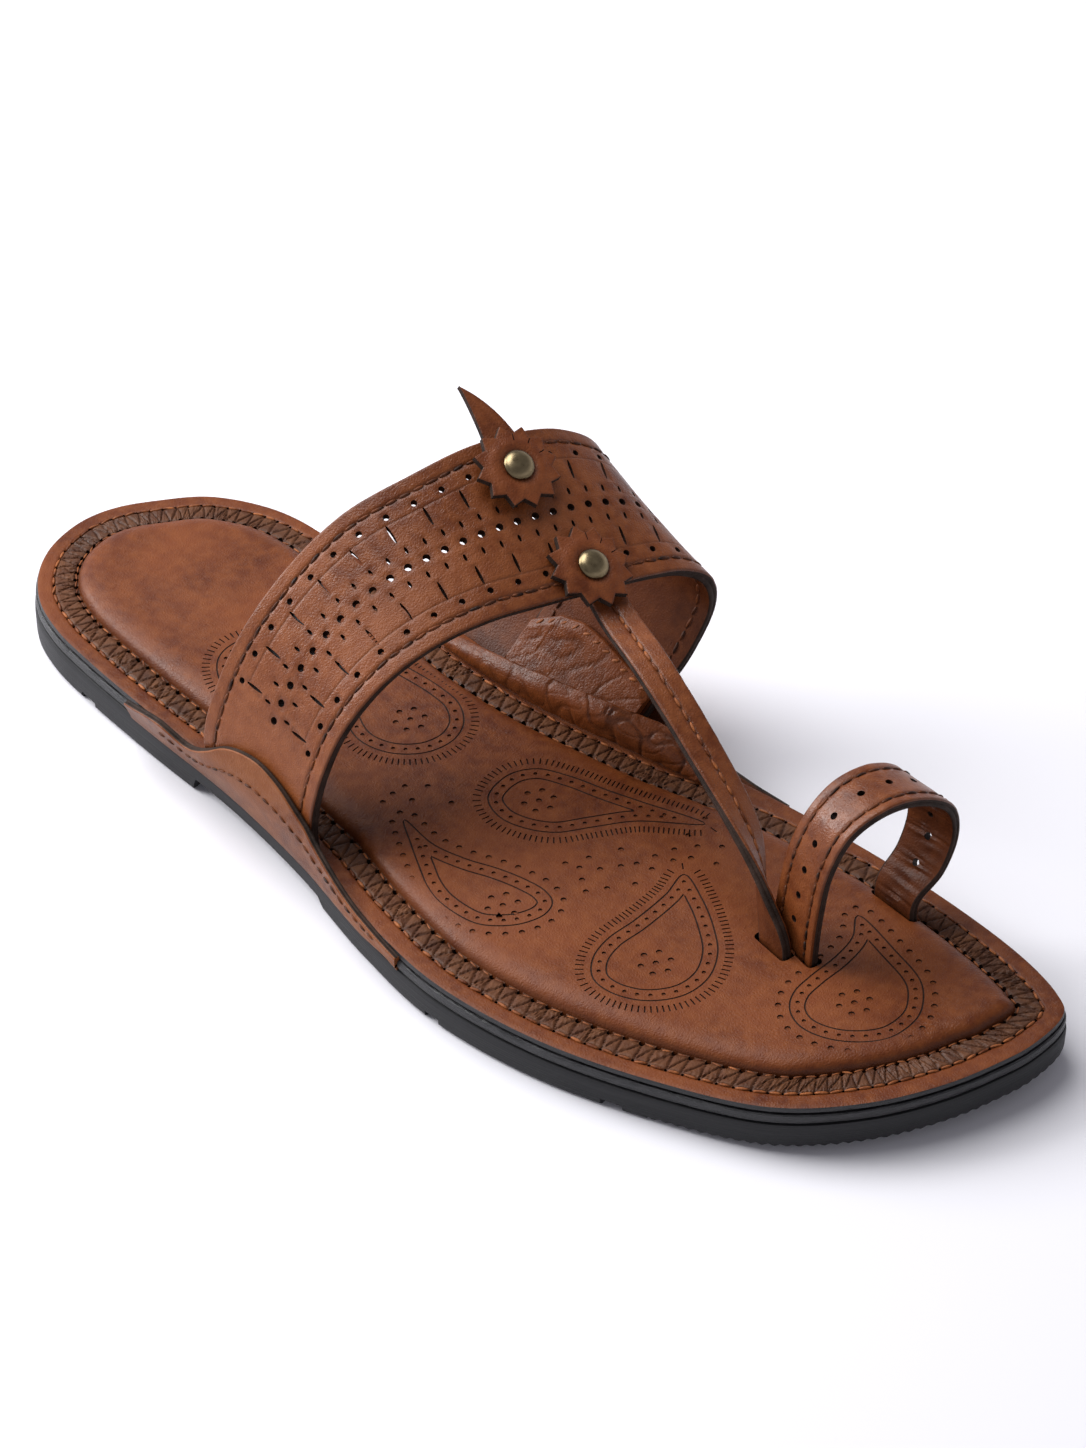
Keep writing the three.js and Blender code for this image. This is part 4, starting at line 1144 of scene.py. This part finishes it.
def band_relief(along, across, from_back, from_front, speed, face):
    """Sunk stitch lines, the drawn creases, and the rounded dents at every punched hole, each with painted
    shade.
    """
    edge = np.minimum(from_back, from_front)
    groove = bell(edge - seam_inset, 0.45 * MM)
    drawn = bell(edge - crease_inset, 0.22 * MM)
    drawn *= (along > pattern_ends[0] + 0.02) & (along < pattern_ends[1] - 0.01)
    lift = -0.32 * MM * groove - 0.1 * MM * drawn
    lift += 0.05 * MM * wander(along * speed, from_back, 21, 12 * MM)
    # Painted shade in the stitch grooves, the drawn creases and the dents round the punches; the edges darken
    # too.
    shade = 0.4 * groove + 0.35 * drawn + 0.25 * bell(edge, 0.7 * MM)
    for row_across, places, length, breadth, _ in punched:
        next_one = np.clip(np.searchsorted(places, along), 1, len(places) - 1)
        gap = np.minimum(np.abs(along - places[next_one - 1]), np.abs(along - places[next_one])) * speed
        side = np.abs(across - row_across) * (from_back + from_front)
        reach = np.hypot(np.maximum(gap - breadth / 2, 0), np.maximum(side - length / 2, 0))
        rim = bell(reach, 0.38 * MM)
        lift -= 0.13 * MM * rim
        shade = np.maximum(shade, 0.3 * rim)
    grain_side = face == 0
    return np.where(grain_side, lift, 0), np.where(grain_side, shade, 0)


line_offsets = [0, 0.45, 0.9, 1.5, 2.2, 2.9, 3.3, 3.55, 3.8, 4.05, 4.3, 4.8, 5.4, 6.0, 6.5, 7.0, 7.5, 8.0,
                8.2, 8.4, 8.6, 8.8, 9.4, 10.2]
band_section = strap_section(band_wall, [offset * MM for offset in line_offsets], 50)
band = ribbon("instep_band", band_point, 330, band_section, [upper_leather, cut_leather, lining_leather],
              band_relief)
bm = bmesh.new()
for across, along, length, breadth, sides in punched:
    # On the inner side the lining is whole behind the punches.
    lift = np.where(along > lined_from, 1.5 * band_wall + lining_left, 0)[:, None]
    punch(bm, band_point, along, across, breadth, length, band_wall, sides, lift)
# The punch walls take the dark cut-wall leather with painted shade.
cut(band, bm, "band_punches", punched_edge)
put_down(band, "leather_strap", "upper")

band_top = band_wall / 2 - 0.18 * MM
for number, from_end in enumerate((False, True)):
    edge_seam(f"band_seam_{number}", band_point, seam_inset, seam_pitch, (0.04, 0.95), band_top,
              dark_thread, 5 + number, from_end)
    edge_seam(f"band_inner_seam_{number}", band_point, seam_inset, seam_pitch, (0.04, 0.95),
              -band_wall / 2 - 0.02 * MM, dark_thread, 15 + number, from_end)

# The inner side's lining: soft thin leather pushed up from the strip into a crinkled roll, and
# above it a padded patch on the inside of the band's foot, overcast along its top with thick
# thread.
roll_wall = 1.2 * MM
roll_rows = (
    # share of the sole's length, rise of the roll's top over the sheet, size of its crinkles
    (0.342, 1.6 * MM, 0.2), (0.40, 5.0 * MM, 0.35), (0.45, 7.4 * MM, 0.6), (0.52, 8.8 * MM, 1),
    (0.575, 7.2 * MM, 1.2), (0.61, 4 * MM, 1), (0.634, 1.2 * MM, 0.6),
)
roll_table = np.array(roll_rows)
patch_wall = 1.5 * MM
overcast_up = 0.9
overcast_pitch = 3.4 * MM
overcast_stitch = 3.0 * MM
overcast_thread = 1.1 * MM
patch_rows = (
    # share across the band from back to front, height of the patch's foot and top over the floor
    (0.01, 10 * MM, 20.5 * MM), (0.165, 10 * MM, 24.1 * MM), (0.335, 10 * MM, 24.9 * MM),
    (0.51, 10 * MM, 23.4 * MM), (0.705, 10 * MM, 21.2 * MM), (0.91, 11 * MM, 19.2 * MM),
    (0.97, 12 * MM, 17.5 * MM),
)
patch_table = np.array(patch_rows)


def backwards(table, along):
    """The first column of a table of rows from heel to toe, for a share of the way from the toe."""
    return table[-1, 0] + (table[0, 0] - table[-1, 0]) * along


def roll_point(along, across):
    """The roll's middle surface, run from the toe back, from the strip up the inner wall."""
    x = backwards(roll_table, np.clip(along, 0, 1)) * sole_length
    rise = np.interp(x / sole_length, roll_table[:, 0], roll_table[:, 1])
    up = np.clip(across, 0, 1)
    near = side_at(x, True) - 8.2 * MM
    far = side_at(x, True) - np.interp(x / sole_length, (0.52, 0.56), (5.4, 3.4)) * MM
    swell = np.sin(math.pi * up) * (0.6 * MM + 0.2 * rise)
    height = sheet_top(x) + roll_wall + rise * up + swell * 0.4
    return np.stack([x, near + (far - near) * up - swell * 0.7, height], axis=-1)


def crinkle(a, b, seed, size):
    """Soft folds with sharp creases between them, from about -1.9 to 0.4."""
    fold = wander(a, b, seed, size)
    other = wander(a, b, seed + 1, size * 0.6)
    return 0.4 * wander(a, b, seed + 2, 2 * size) - bell(fold, 0.16) - 0.5 * bell(other, 0.13)


def roll_relief(along, across, from_back, from_front, speed, face):
    strength = np.interp(backwards(roll_table, along), roll_table[:, 0], roll_table[:, 2])
    fold = crinkle(along * speed * 0.55, from_back * 0.9, 61, 6.5 * MM)
    # Painted shade in the creases of the crinkles.
    return np.where(face == 0, 0.3 * MM * strength * fold, 0), np.clip(-0.4 * fold * strength, 0, 0.7)


def patch_point(along, up):
    """The patch's middle surface on the band's inside, run from the toe back."""
    across = backwards(patch_table, np.clip(along, 0, 1))
    foot, top = (np.interp(across, patch_table[:, 0], patch_table[:, k]) for k in (1, 2))
    height = foot + (top - foot) * np.clip(up, 0, 1)
    steps = np.linspace(0, 0.35, 60)
    every = np.tile(steps, len(across))
    climb = band_point(1 - every, np.repeat(across, len(steps)))[:, 2].reshape(len(across), len(steps))
    found = np.array([1 - np.interp(h, z, steps) for h, z in zip(height, climb)])
    point, _, _, out, _, _ = facing(band_point, found, across)
    return point - out * (band_wall / 2 + clearance + patch_wall / 2)


def patch_relief(along, across, from_back, from_front, speed, face):
    edge = np.minimum(from_back, from_front)
    fold = crinkle(along * speed * 0.55, from_back, 71, 8 * MM)
    lift = np.clip(edge / (2.5 * MM), 0, 1) * (0.8 * MM + 0.16 * MM * fold)
    # Painted shade in the creases of the crinkles.
    return np.where(face == 0, lift, 0), np.clip(-0.3 * fold, 0, 0.5)


crinkled_leather = tanned_leather("crinkled_leather", "#653112", "#46200B", "#77401E", gloss=0.34)
lining_edge = 0.35 * MM
lining_offsets = (0, 0.4 * MM, 0.9 * MM)
roll_section = strap_section(roll_wall, lining_offsets, 26, lining_edge)
lining_roll = ribbon("lining_roll", roll_point, 300, roll_section, [crinkled_leather] * 3, roll_relief)
put_down(lining_roll, "leather_strap")
patch_section = strap_section(patch_wall, lining_offsets, 26, lining_edge)
patch = ribbon("lining_patch", patch_point, 160, patch_section, [crinkled_leather] * 3, patch_relief)
put_down(patch, "leather_strap")
along = paced(patch_point, overcast_up, overcast_pitch, 0.03, 0.98)
point, run, up, out, _, _ = facing(patch_point, along, along * 0 + overcast_up)
slant = unit(unit(run) - 0.7 * unit(up))
overcast = stitch_row("overcast_stitches", point + out * 0.9 * MM, slant, out, overcast_stitch,
                      overcast_thread, [rust_thread], 0.12, 17)
put_down(overcast, "leather_strap")

# The toe strap: a narrow strap from under the front rosette down to the slot by the big toe,
# turning on edge as it goes in, with one seam along its middle.
strap_wall = 2.5 * MM
strap_width = 9 * MM
strap_sink = 0.5 * MM
strap_seam_pitch = 3.4 * MM
strap_start = (0.537, (0.72, 1.0))
strap_rows = (
    # share forward, side and up, and the degrees its outer edge has turned to the front
    (0.534, 0.288, 0.65, -13), (0.589, 0.225, 0.64, -12), (0.6585, 0.168, 0.53, 0), (0.728, 0.108, 0.38, 28),
    (0.7645, 0.058, 0.23, 60), (0.7825, 0.034, 0.125, 80),
)


def board_top(x):
    return board_bottom(x) + board_thickness


def strap_knots():
    across = np.array(strap_start[1])
    along = across * 0 + strap_start[0]
    point, run, _, out, _, _ = facing(band_point, along, across)
    centres = list(point - out * strap_sink)
    edges = list(-unit(run))
    for forward_share, side, up, turn in strap_rows:
        x = forward_share * sole_length
        centres.append((x, side * ball_width, float(sole_top(x)) + up * instep_rise))
        edges.append((math.sin(math.radians(turn)), -math.cos(math.radians(turn)), 0))
    tail = centres[-1]
    centres.append((tail[0], tail[1], float(board_top(tail[0]))))
    edges.append(edges[-1])
    return np.array(centres), np.array(edges)


strap_centres, strap_edges = strap_knots()
strap_line = rail(strap_centres)
strap_spans = len(strap_centres) - 1


def strap_point(along, across):
    """The toe strap's middle surface, from the band to the slot, inner to outer edge."""
    share = np.clip(along, 0, 1) * strap_spans
    span = np.minimum(share.astype(int), strap_spans - 1)
    edge = strap_edges[span] + (strap_edges[span + 1] - strap_edges[span]) * (share - span)[:, None]
    way = unit(strap_line(along + 0.002) - strap_line(along - 0.002))
    edge = unit(edge - way * (edge * way).sum(axis=1, keepdims=True))
    return strap_line(along) + edge * ((across - 0.5) * strap_width)[:, None]


def strap_relief(along, across, from_back, from_front, speed, face):
    middle = bell((from_back - from_front) / 2, 0.45 * MM)
    edge = np.minimum(from_back, from_front)
    lift = -0.3 * MM * middle + 0.04 * MM * wander(along * speed, from_back, 31, 9 * MM)
    # Painted shade in the middle seam's groove; the edges darken too.
    shade = 0.4 * middle + 0.25 * bell(edge, 0.6 * MM)
    return np.where(face == 0, lift, 0), np.where(face == 0, shade, 0)


strap_offsets = [offset * MM for offset in (0, 0.45, 0.9, 1.5, 2.2, 3.0)]
strap_section_rows = strap_section(strap_wall, strap_offsets, 12)
toe_strap = ribbon("toe_strap", strap_point, 200, strap_section_rows,
                   [upper_leather, cut_leather, lining_leather], strap_relief, (0.02, 1))
put_down(toe_strap, "leather_strap")
edge_seam("strap_seam", strap_point, strap_width / 2, strap_seam_pitch, (0.14, 0.97),
          strap_wall / 2 - 0.15 * MM, rust_thread, 9)

# The toe ring: a wide loop for the big toe, lined with soft leather that has wrinkled, both
# ends let into slots of the footbed, with a seam along each edge and one row of holes.
ring_wall = 2.4 * MM
ring_rise = 40 * MM
ring_hole_breadth = 1.9 * MM
ring_hole_length = 1.7 * MM
ring_hole_pitch = 7.4 * MM
ring_seam_pitch = 3.5 * MM
ring_seam_inset = 2.6 * MM
ring_rows = (
    # back edge forward and side, front edge forward and side, back and front up
    (0.7695, 0.082, 0.8185, 0.05, 0.07, 0.09), (0.772, 0.087, 0.820, 0.055, 0.38, 0.41),
    (0.775, 0.105, 0.822, 0.07, 0.67, 0.67), (0.78, 0.145, 0.8285, 0.11, 0.88, 0.915),
    (0.7835, 0.21, 0.8355, 0.18, 0.975, 1), (0.79, 0.285, 0.8425, 0.27, 0.985, 0.975),
    (0.797, 0.36, 0.849, 0.35, 0.89, 0.867), (0.8025, 0.40, 0.8505, 0.405, 0.72, 0.70),
    (0.804, 0.42, 0.8505, 0.42, 0.50, 0.48), (0.804, 0.39, 0.849, 0.385, 0.28, 0.26),
    (0.8005, 0.34, 0.843, 0.325, 0.10, 0.10),
)


def ring_edge(front):
    points = []
    for row in ring_rows:
        forward, side = row[2:4] if front else row[0:2]
        x = forward * sole_length
        up = row[5] if front else row[4]
        points.append((x, side * ball_width, float(sheet_top(x)) + pad_rise + up * ring_rise))
    ends = [(x, y, float(board_top(x))) for x, y, _ in (points[0], points[-1])]
    return rail([ends[0], *points, ends[1]])


ring_back, ring_front = ring_edge(False), ring_edge(True)


def ring_point(along, across):
    """The toe ring's middle surface, from its outer to its inner foot, back to front."""
    back, front = ring_back(along), ring_front(along)
    return back + (front - back) * across[..., None]


def ring_relief(along, across, from_back, from_front, speed, face):
    edge = np.minimum(from_back, from_front)
    groove = bell(edge - ring_seam_inset, 0.4 * MM)
    lift = -0.3 * MM * groove + 0.05 * MM * wander(along * speed, from_back, 41, 10 * MM)
    fold = wander(along * speed * 1.5, from_back * 0.3, 43, 6 * MM)
    inner = np.clip(edge / (1.5 * MM), 0, 1) * 0.45 * MM * fold
    # Painted shade in the seam grooves, and in the lining's folds, lighter on their ridges; the edges darken
    # too.
    shade = 0.4 * groove + 0.25 * bell(edge, 0.6 * MM)
    return (
        np.where(face == 0, lift, np.where(face == 2, inner, 0)),
        np.where(face == 0, shade, np.where(face == 2, 0.3 - 0.3 * fold, 0)),
    )


ring_offsets = [offset * MM for offset in (0, 0.45, 0.9, 1.5, 2.0, 2.3, 2.6, 2.9, 3.2, 3.8)]
ring_section = strap_section(ring_wall, ring_offsets, 14)
toe_ring = ribbon("toe_loop", ring_point, 260, ring_section, [upper_leather, cut_leather, lining_leather],
                  ring_relief)
along = paced(ring_point, 0.5, ring_hole_pitch, 0.1, 0.9)
bm = bmesh.new()
punch(bm, ring_point, along, 0.5, ring_hole_breadth, ring_hole_length, ring_wall, 14)
# The punch walls take the dark cut-wall leather with painted shade.
cut(toe_ring, bm, "ring_punches", punched_edge)
put_down(toe_ring, "leather_strap", "toe_ring")
for number, from_end in enumerate((False, True)):
    edge_seam(f"ring_seam_{number}", ring_point, ring_seam_inset, ring_seam_pitch, (0.04, 0.96),
              ring_wall / 2 - 0.15 * MM, dark_thread, 11 + number, from_end)

# The slots: the feet of strap and ring go down through cuts in the pad. Each is a little longer
# and wider than its foot, with rounded corners.
slot_gap = 0.9 * MM
slot_depth = 2.6 * MM
slot_corner = 1.2 * MM
bm = bmesh.new()
feet = (
    # surface, which of its ends, wall
    (strap_point, 1, strap_wall), (ring_point, 0, ring_wall), (ring_point, 1, ring_wall),
)
for surface, end, wall in feet:
    ends = surface(np.array([end, end]), np.array([0.0, 1.0]))
    middle, span = ends.mean(axis=0), ends[1] - ends[0]
    turned = Matrix.Rotation(math.atan2(span[1], span[0]), 4, "Z")
    size = Matrix.Diagonal((np.linalg.norm(span[:2]) + 2 * slot_gap, wall + 2 * slot_gap, 2 * slot_depth, 1))
    top = Vector((middle[0], middle[1], float(sheet_top(middle[0])) + pad_rise))
    made = bmesh.ops.create_cube(bm, size=1, matrix=Matrix.Translation(top) @ turned @ size)
    upright = {
        edge for vert in made["verts"] for edge in vert.link_edges
        if abs(edge.verts[0].co.z - edge.verts[1].co.z) > slot_depth
    }
    bmesh.ops.bevel(bm, geom=list(upright), offset=slot_corner, offset_type="OFFSET", segments=4,
                    profile=0.5, affect="EDGES", material=-1)
# The slot walls take the dark cut-wall leather: painted shade round each foot.
cut(pad, bm, "foot_slots", punched_edge)

# The rosettes: twelve-pointed flowers stamped from thick leather and riveted through the band,
# the rear one over a curved leaf that stands out behind it. Their cut sides show the raw layers.
rosette_radius = 10.5 * MM
rosette_wall = 2 * MM
rosette_points = 12
rosette_valley = 0.8
leaf_length = 23.6 * MM
leaf_width = 11 * MM
leaf_lean = 4.3 * MM
leaf_wall = 1.6 * MM
rivet_shank = 1.4 * MM
rivet_sides = 48
rivet_tail_rows = 5
rivet_rows = (
    # radius, and height over the flower, in millimetres: the tail's disc, the shank and the dome
    (0, -6.0), (3.0, -6.0), (3.04, -5.8), (3.04, -5.2), (1.4, -5.1), (1.4, 0.28), (3.5, 0.28),
    (3.78, 0.4), (3.8, 0.62), (3.7, 0.82), (3.4, 1.15), (2.95, 1.45), (2.4, 1.7), (1.7, 1.86),
    (0.9, 1.96), (0, 2.0),
)
flower_slit = (2.4 * MM, 0.25 * MM, 0.9 * MM)
flower_slit_radius = 7.6 * MM
flower_slit_degrees = (105, 135, 165)
rosette_places = (
    # name, share along the band, share across it, is there a leaf under it
    ("rear", 0.50, 0.229, True),
    ("front", 0.53, 0.875, False),
)


def lay_on_band(local, along, across, lift, bent):
    """Lays points with x forward, y along the band and z out on the band: flat on its tangent,
    or bent down to it by a share."""
    zero = local[:, 0] * 0
    point, run, _, out, speed, width = facing(band_point, zero + along, zero + across)
    run = unit(run)
    flat = point + np.cross(run, out) * local[:, :1] + run * local[:, 1:2] + out * (local[:, 2:] + lift)
    place = across + local[:, 0] / width
    inside = np.clip(place, 0.01, 0.99)
    point, _, forward, out, _, _ = facing(band_point, along + local[:, 1] / speed, inside)
    curved = point + forward * (place - inside)[:, None] + out * (local[:, 2:] + lift)
    return flat + (curved - flat) * bent


def stamped(name, columns, outline, middle, wall, lay, relief, holed):
    """A flat piece stamped from thick leather: its outline drawn in towards a middle line in
    rows, underside first, then the cut side, the grain side and back."""
    rows = [(1, 0, 0, 0), (0.5, 0, 0, 0), (0, 0.3 * MM, 0, 1)]
    raw_side = ((0, 0.12), (-0.05, 0.3), (0.1, 0.48), (-0.04, 0.66), (0, 0.85))
    rows += [(0, r * MM, z * wall, 1) for r, z in raw_side]
    rows += [(0, 0.08 * MM, 0.96 * wall, 0), (0, 0.3 * MM, wall, 0), (0, 0.8 * MM, wall, 0)]
    rows += [(share, 0.8 * MM, wall, 0) for share in np.linspace(0.1, 1, 10)]
    if holed:
        rows.append(rows[0])
    table = np.array([row[:3] for row in rows], float)
    faces = [row[3] for row in rows]

    def place(column, row):
        share = np.mod(column, columns) / columns
        drawn, inset, height = table[row].T
        edge, centre = outline(share), middle(share)
        reach = np.maximum(np.linalg.norm(centre - edge, axis=1), 1e-6)
        plan = edge + (centre - edge) * np.minimum(1, drawn + inset / reach)[:, None]
        top = height > 0.9 * wall
        lift, shade = relief(plan)
        points = lay(np.column_stack([plan, height + np.where(top, lift, 0)]))
        # The grain side takes the relief's painted shade and darkens towards its outline.
        return points, plan, np.where(top, shade + 0.25 * np.exp(-(inset + drawn * reach) / (0.5 * MM)), 0)

    bm = laid_grid(columns, len(rows) - 1, place, finishes=[max(a, b) for a, b in zip(faces, faces[1:])])
    return finish_mesh(bm, name, [rosette_leather, cut_leather], 45)


def star(share):
    """The star's outline: straight sides between points and valleys."""
    turn = share * 2 * rosette_points
    corner = np.floor(turn)
    ends = []
    for k in (corner, corner + 1):
        radius = np.where(np.mod(k, 2) == 0, rosette_radius, rosette_radius * rosette_valley)
        angle = k * math.pi / rosette_points
        ends.append(np.stack([radius * np.cos(angle), radius * np.sin(angle)], axis=1))
    return ends[0] + (ends[1] - ends[0]) * (turn - corner)[:, None]


def hole_circle(share):
    radius = rivet_shank + clearance
    return radius * np.stack([np.cos(math.tau * share), np.sin(math.tau * share)], axis=1)


def rosette_relief(plan):
    """The leather rises round the rivet and dips towards its edge, where a ring of painted shade lies."""
    radius = np.linalg.norm(plan, axis=1)
    return 0.45 * MM * bell(radius - 5.6 * MM, 1.7 * MM), 0.5 * bell(radius - 3.9 * MM, 0.5 * MM)


def bow(share, bulge_x, bulge_y, root_y):
    """One side of the leaf from its root to its tip, as a quadratic curve."""
    t = share[:, None]
    root = np.array([0.3 * leaf_width, root_y * leaf_width])
    bulge = np.array([-bulge_x * leaf_length, bulge_y * leaf_width])
    tip = np.array([-leaf_length, -leaf_lean])
    return (1 - t) ** 2 * root + 2 * t * (1 - t) * bulge + t * t * tip


def leaf_side(share, swap):
    there = np.where(share < 0.5, 2 * share, 2 - 2 * share)
    inner_side, outer_side = bow(there, 0.6, 0.5, 0.5), bow(there, 0.45, -0.3, -0.5)
    first = (share < 0.5)[:, None] != swap
    return np.where(first, inner_side, outer_side)


def leaf_outline(share):
    return leaf_side(share, False)


def leaf_middle(share):
    return (leaf_side(share, False) + leaf_side(share, True)) / 2


def leaf_relief(plan):
    return 0.05 * MM * wander(plan[:, 0], plan[:, 1], 51, 8 * MM), plan[:, 0] * 0


# Antique brass: yellow-brown metal with an uneven tarnish, and painted shade that darkens the dome towards
# its rim.
antique_brass, tree = new_material("antique_brass")
on = node(tree, "ShaderNodeTexCoord")
film = node(tree, "ShaderNodeTexNoise", Vector=on.outputs["Object"], Scale=700.0, Detail=4.0)
shade = node(tree, "ShaderNodeAttribute", {"attribute_name": "shade"})
worn = node(tree, "ShaderNodeMix", {"data_type": "RGBA"}, in0=film.outputs["Fac"],
            in6="#75674B", in7="#A39272")
brass_painted_shade = node(tree, "ShaderNodeMix", {"data_type": "RGBA"}, in0=shade.outputs["Fac"],
            in6=worn.outputs[2], in7="#2C2415")
tarnish = node(tree, "ShaderNodeMapRange", Value=film.outputs["Fac"], To_Min=0.2, To_Max=0.42)
brass_shader = node(tree, "ShaderNodeBsdfPrincipled", Base_Color=brass_painted_shade.outputs[2], Metallic=1.0,
                    Roughness=tarnish.outputs[0])
node(tree, "ShaderNodeOutputMaterial", Surface=brass_shader.outputs["BSDF"])

rosette_leather = tanned_leather("rosette_leather", "#723918", "#55270F", "#834926", sheen=0.25)
half_band = band_wall / 2 + clearance
for name, along, across, leafed in rosette_places:
    lift = half_band + (leaf_wall + clearance if leafed else 0)

    def lay(local, along=along, across=across, lift=lift, bent=0.5 if leafed else 0.8):
        return lay_on_band(local, along, across, lift, bent)

    flower = stamped(f"flower_{name}", 480, star, hole_circle, rosette_wall, lay, rosette_relief, True)
    bm = bmesh.new()
    for degrees in flower_slit_degrees:
        way = Matrix.Rotation(math.radians(degrees), 4, "Z")
        size = Matrix.Diagonal((*flower_slit, 1))
        outwards = Matrix.Translation((flower_slit_radius, 0, rosette_wall))
        made = bmesh.ops.create_cube(bm, size=1, matrix=way @ outwards @ size)
        for vert, point in zip(made["verts"], lay(np.array([vert.co for vert in made["verts"]]))):
            vert.co = point
    cut(flower, bm, f"flower_{name}_slits", cut_leather)
    put_down(flower, "leather_strap", f"rosette_{name}")

    def rivet_place(column, row):
        angle = math.tau * column / rivet_sides
        radius, height = (np.array(rivet_rows) * MM)[row].T
        if not leafed:
            height = np.where(row < rivet_tail_rows, height + leaf_wall + clearance, height)
        local = np.stack([radius * np.cos(angle), radius * np.sin(angle), height + rosette_wall], axis=1)
        # Painted shade: darker over the dome's lower slope and rim.
        shade = np.clip((radius - 2.9 * MM) / (0.9 * MM), 0, 1) * 0.7
        return lay_on_band(local, along, across, lift, 0), local[:, :2], shade

    bm = laid_grid(rivet_sides, len(rivet_rows) - 1, rivet_place)
    rivet = finish_mesh(bm, f"dome_{name}", [antique_brass], 50)
    put_down(rivet, "brass_antique", f"rivet_{name}")
    if leafed:
        def lay_leaf(local, along=along, across=across):
            return lay_on_band(local, along, across, half_band, 0)

        leaf = stamped("leaf", 240, leaf_outline, leaf_middle, leaf_wall, lay_leaf, leaf_relief, False)
        put_down(leaf, "leather_strap", "leaf_tab")
